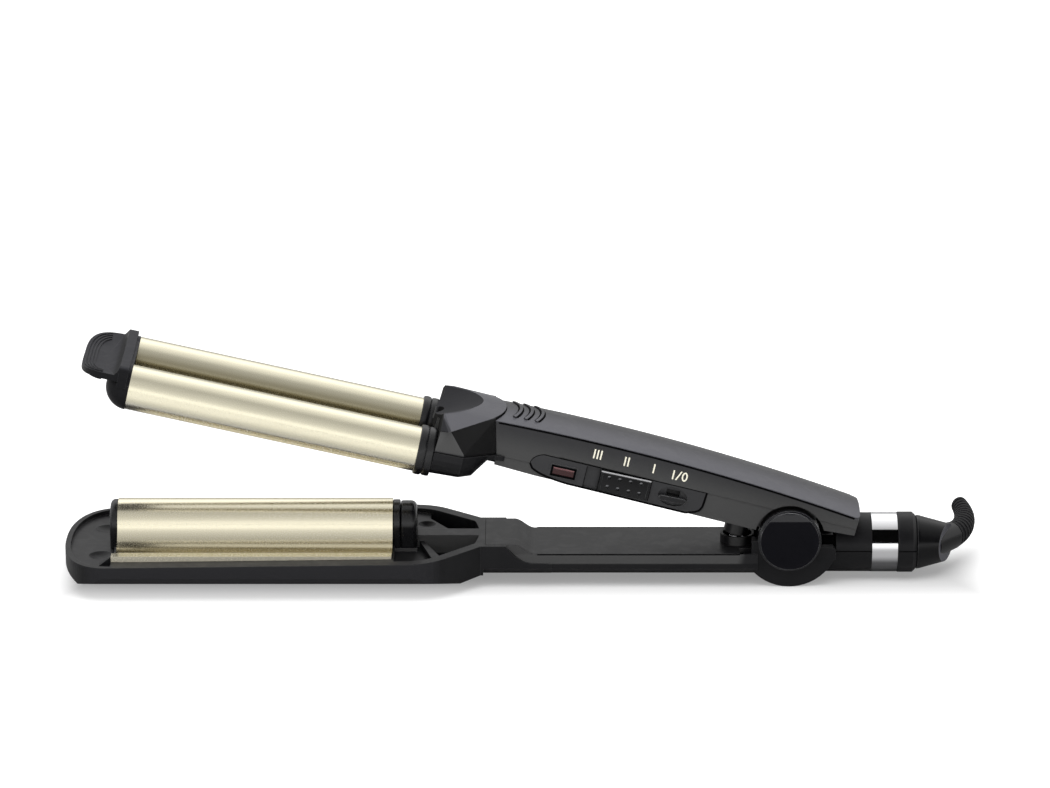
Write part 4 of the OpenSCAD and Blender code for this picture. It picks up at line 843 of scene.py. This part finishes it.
def buildStage():
    # white table: its shading shows near the waver, and it fades to plain white further out
    f = floorLook
    mesh = bpy.data.meshes.new("studioFloor")
    corners = [(x * f["half"], y * f["half"], 0) for x, y in ((-1, -1), (1, -1), (1, 1), (-1, 1))]
    mesh.from_pydata(corners, [], [(0, 1, 2, 3)])
    floor = bpy.data.objects.new("studioFloor", mesh)
    bpy.context.scene.collection.objects.link(floor)
    material, tree, shader = newMaterial("floorWhite")
    shader.inputs["Base Color"].default_value = (f["tone"],) * 3 + (1,)
    shader.inputs["Roughness"].default_value = f["roughness"]
    shader.inputs["Specular IOR Level"].default_value = 0.0
    distance = addNode(tree, "ShaderNodeVectorMath", {0: objectPlace(tree)}, operation="ABSOLUTE")
    parts = addNode(tree, "ShaderNodeSeparateXYZ", {0: distance.outputs["Vector"]}).outputs
    glow = mathNode(tree, "MAXIMUM", fadeOver(tree, parts["Y"], f["glowY"], f["glow"]),
                    fadeOver(tree, parts["X"], f["glowX"], f["glow"]))
    sheen = fadeOver(tree, parts["Y"], f["sheenY"], f["sheen"])
    path = addNode(tree, "ShaderNodeLightPath").outputs
    mirrored = mathNode(tree, "MAXIMUM", path["Is Glossy Ray"], path["Is Transmission Ray"])
    total = mathNode(tree, "ADD", mathNode(tree, "MULTIPLY", path["Is Camera Ray"], glow),
                     mathNode(tree, "MULTIPLY", mirrored, sheen))
    connect(tree, shader, {"Emission Strength": total})
    shader.inputs["Emission Color"].default_value = (1, 1, 1, 1)
    mesh.materials.append(material)


# dark cards, seen only in the mirror-like parts; corners in mm

cardTone = 0.004
darkCards = {
    "rearFlag": [(118, -175, 52), (330, -175, 52), (330, -140, 335), (118, -140, 335)],
    "capCard": [(100, -134, 0.6), (134, -134, 0.6), (134, -40, 0.6), (100, -40, 0.6)],
}


def blackFlag(name, corners):
    mesh = bpy.data.meshes.new(name)
    mesh.from_pydata([[v * mm for v in corner] for corner in corners], [], [(0, 1, 2, 3)])
    flag = bpy.data.objects.new(name, mesh)
    bpy.context.scene.collection.objects.link(flag)
    material, tree, shader = newMaterial(name + "Black")
    shader.inputs["Base Color"].default_value = (cardTone,) * 3 + (1,)
    shader.inputs["Specular IOR Level"].default_value = 0.0
    mesh.materials.append(material)
    flag.visible_camera = flag.visible_diffuse = flag.visible_shadow = False


# studio walls: bright low in front, dimmer above the camera, bright again behind

roomWalls = {
    "ambient": 0.2,
    # place on the way from the front up over the top to the back, and the level there
    "stops": [(0.0, 1.35), (0.06, 1.35), (0.12, 0.85), (0.22, 0.68), (0.38, 0.5), (0.5, 0.85), (0.6, 1.1),
              (0.7, 1.5), (0.79, 1.5), (0.86, 0.95), (0.92, 0.5), (1.0, 0.35)],
}


def buildWorld():
    world = bpy.data.worlds.new("studioRoom")
    bpy.context.scene.world = world
    world.use_nodes = True
    tree = world.node_tree
    background = tree.nodes["Background"]
    direction = addNode(tree, "ShaderNodeTexCoord").outputs["Generated"]
    parts = addNode(tree, "ShaderNodeSeparateXYZ", {0: direction}).outputs
    angle = mathNode(tree, "ARCTAN2", parts["Z"], mathNode(tree, "MULTIPLY", parts["Y"], -1.0))
    walls = addNode(tree, "ShaderNodeValToRGB", {0: mapRange(tree, angle, 0.0, math.pi)})
    ramp = walls.color_ramp
    while len(ramp.elements) < len(roomWalls["stops"]):
        ramp.elements.new(0.5)
    for element, (position, level) in zip(ramp.elements, roomWalls["stops"]):
        element.position = position
        element.color = (level, level, level, 1)
    path = addNode(tree, "ShaderNodeLightPath").outputs
    ambient = (roomWalls["ambient"],) * 3 + (1,)
    lit = mixColour(tree, path["Is Glossy Ray"], ambient, walls.outputs["Color"])
    shown = mixColour(tree, path["Is Camera Ray"], lit, (1, 1, 1, 1))
    connect(tree, background, {"Color": shown})
    background.inputs["Strength"].default_value = 1.0


# lamps and camera

softboxes = {  # power, and size, place and target in metres
    "overheadSoftbox": (13.0, (1.6, 0.9), (-0.1, -0.5, 1.25), (0, 0, 0)),
    "frontSoftbox": (5.0, (2.2, 0.5), (0.0, -1.5, 0.45), (0, 0, 0.05)),
    "backSoftbox": (3.0, (2.2, 0.5), (0.0, 1.5, 0.45), (0, 0, 0.05)),
}


def areaLight(name, power, size, place, target):
    data = bpy.data.lights.new(name, "AREA")
    data.shape = "RECTANGLE"
    data.size, data.size_y = size
    data.energy = power
    lamp = bpy.data.objects.new(name, data)
    lamp.location = place
    lamp.rotation_euler = (Vector(target) - Vector(place)).to_track_quat("-Z", "Y").to_euler()
    lamp.visible_glossy = False  # reflections come from the studio walls alone
    bpy.context.scene.collection.objects.link(lamp)


viewpoint = {
    "target": (0.855, 0.0, 80.6), "distance": 2000.0, "elevation": 17.7,  # mm and degrees
    "focalPixels": 4727, "frameWidth": 1050, "sensor": 36.0, "clip": (0.1, 50.0),
}


def buildCamera():
    v = viewpoint
    data = bpy.data.cameras.new("viewCamera")
    data.sensor_width = v["sensor"]
    data.lens = v["focalPixels"] / v["frameWidth"] * v["sensor"]
    data.clip_start, data.clip_end = v["clip"]
    camera = bpy.data.objects.new("viewCamera", data)
    tilt = math.radians(v["elevation"])
    away = Vector((0, -math.cos(tilt), math.sin(tilt)))
    camera.location = (Vector(v["target"]) + v["distance"] * away) * mm
    camera.rotation_euler = (math.pi / 2 - tilt, 0, 0)
    bpy.context.scene.collection.objects.link(camera)
    bpy.context.scene.camera = camera


buildStage()
for name, corners in darkCards.items():
    blackFlag(name, corners)
buildWorld()
for name, box in softboxes.items():
    areaLight(name, *box)
buildCamera()
bpy.context.scene.view_settings.view_transform = "Standard"
print("studio ready")
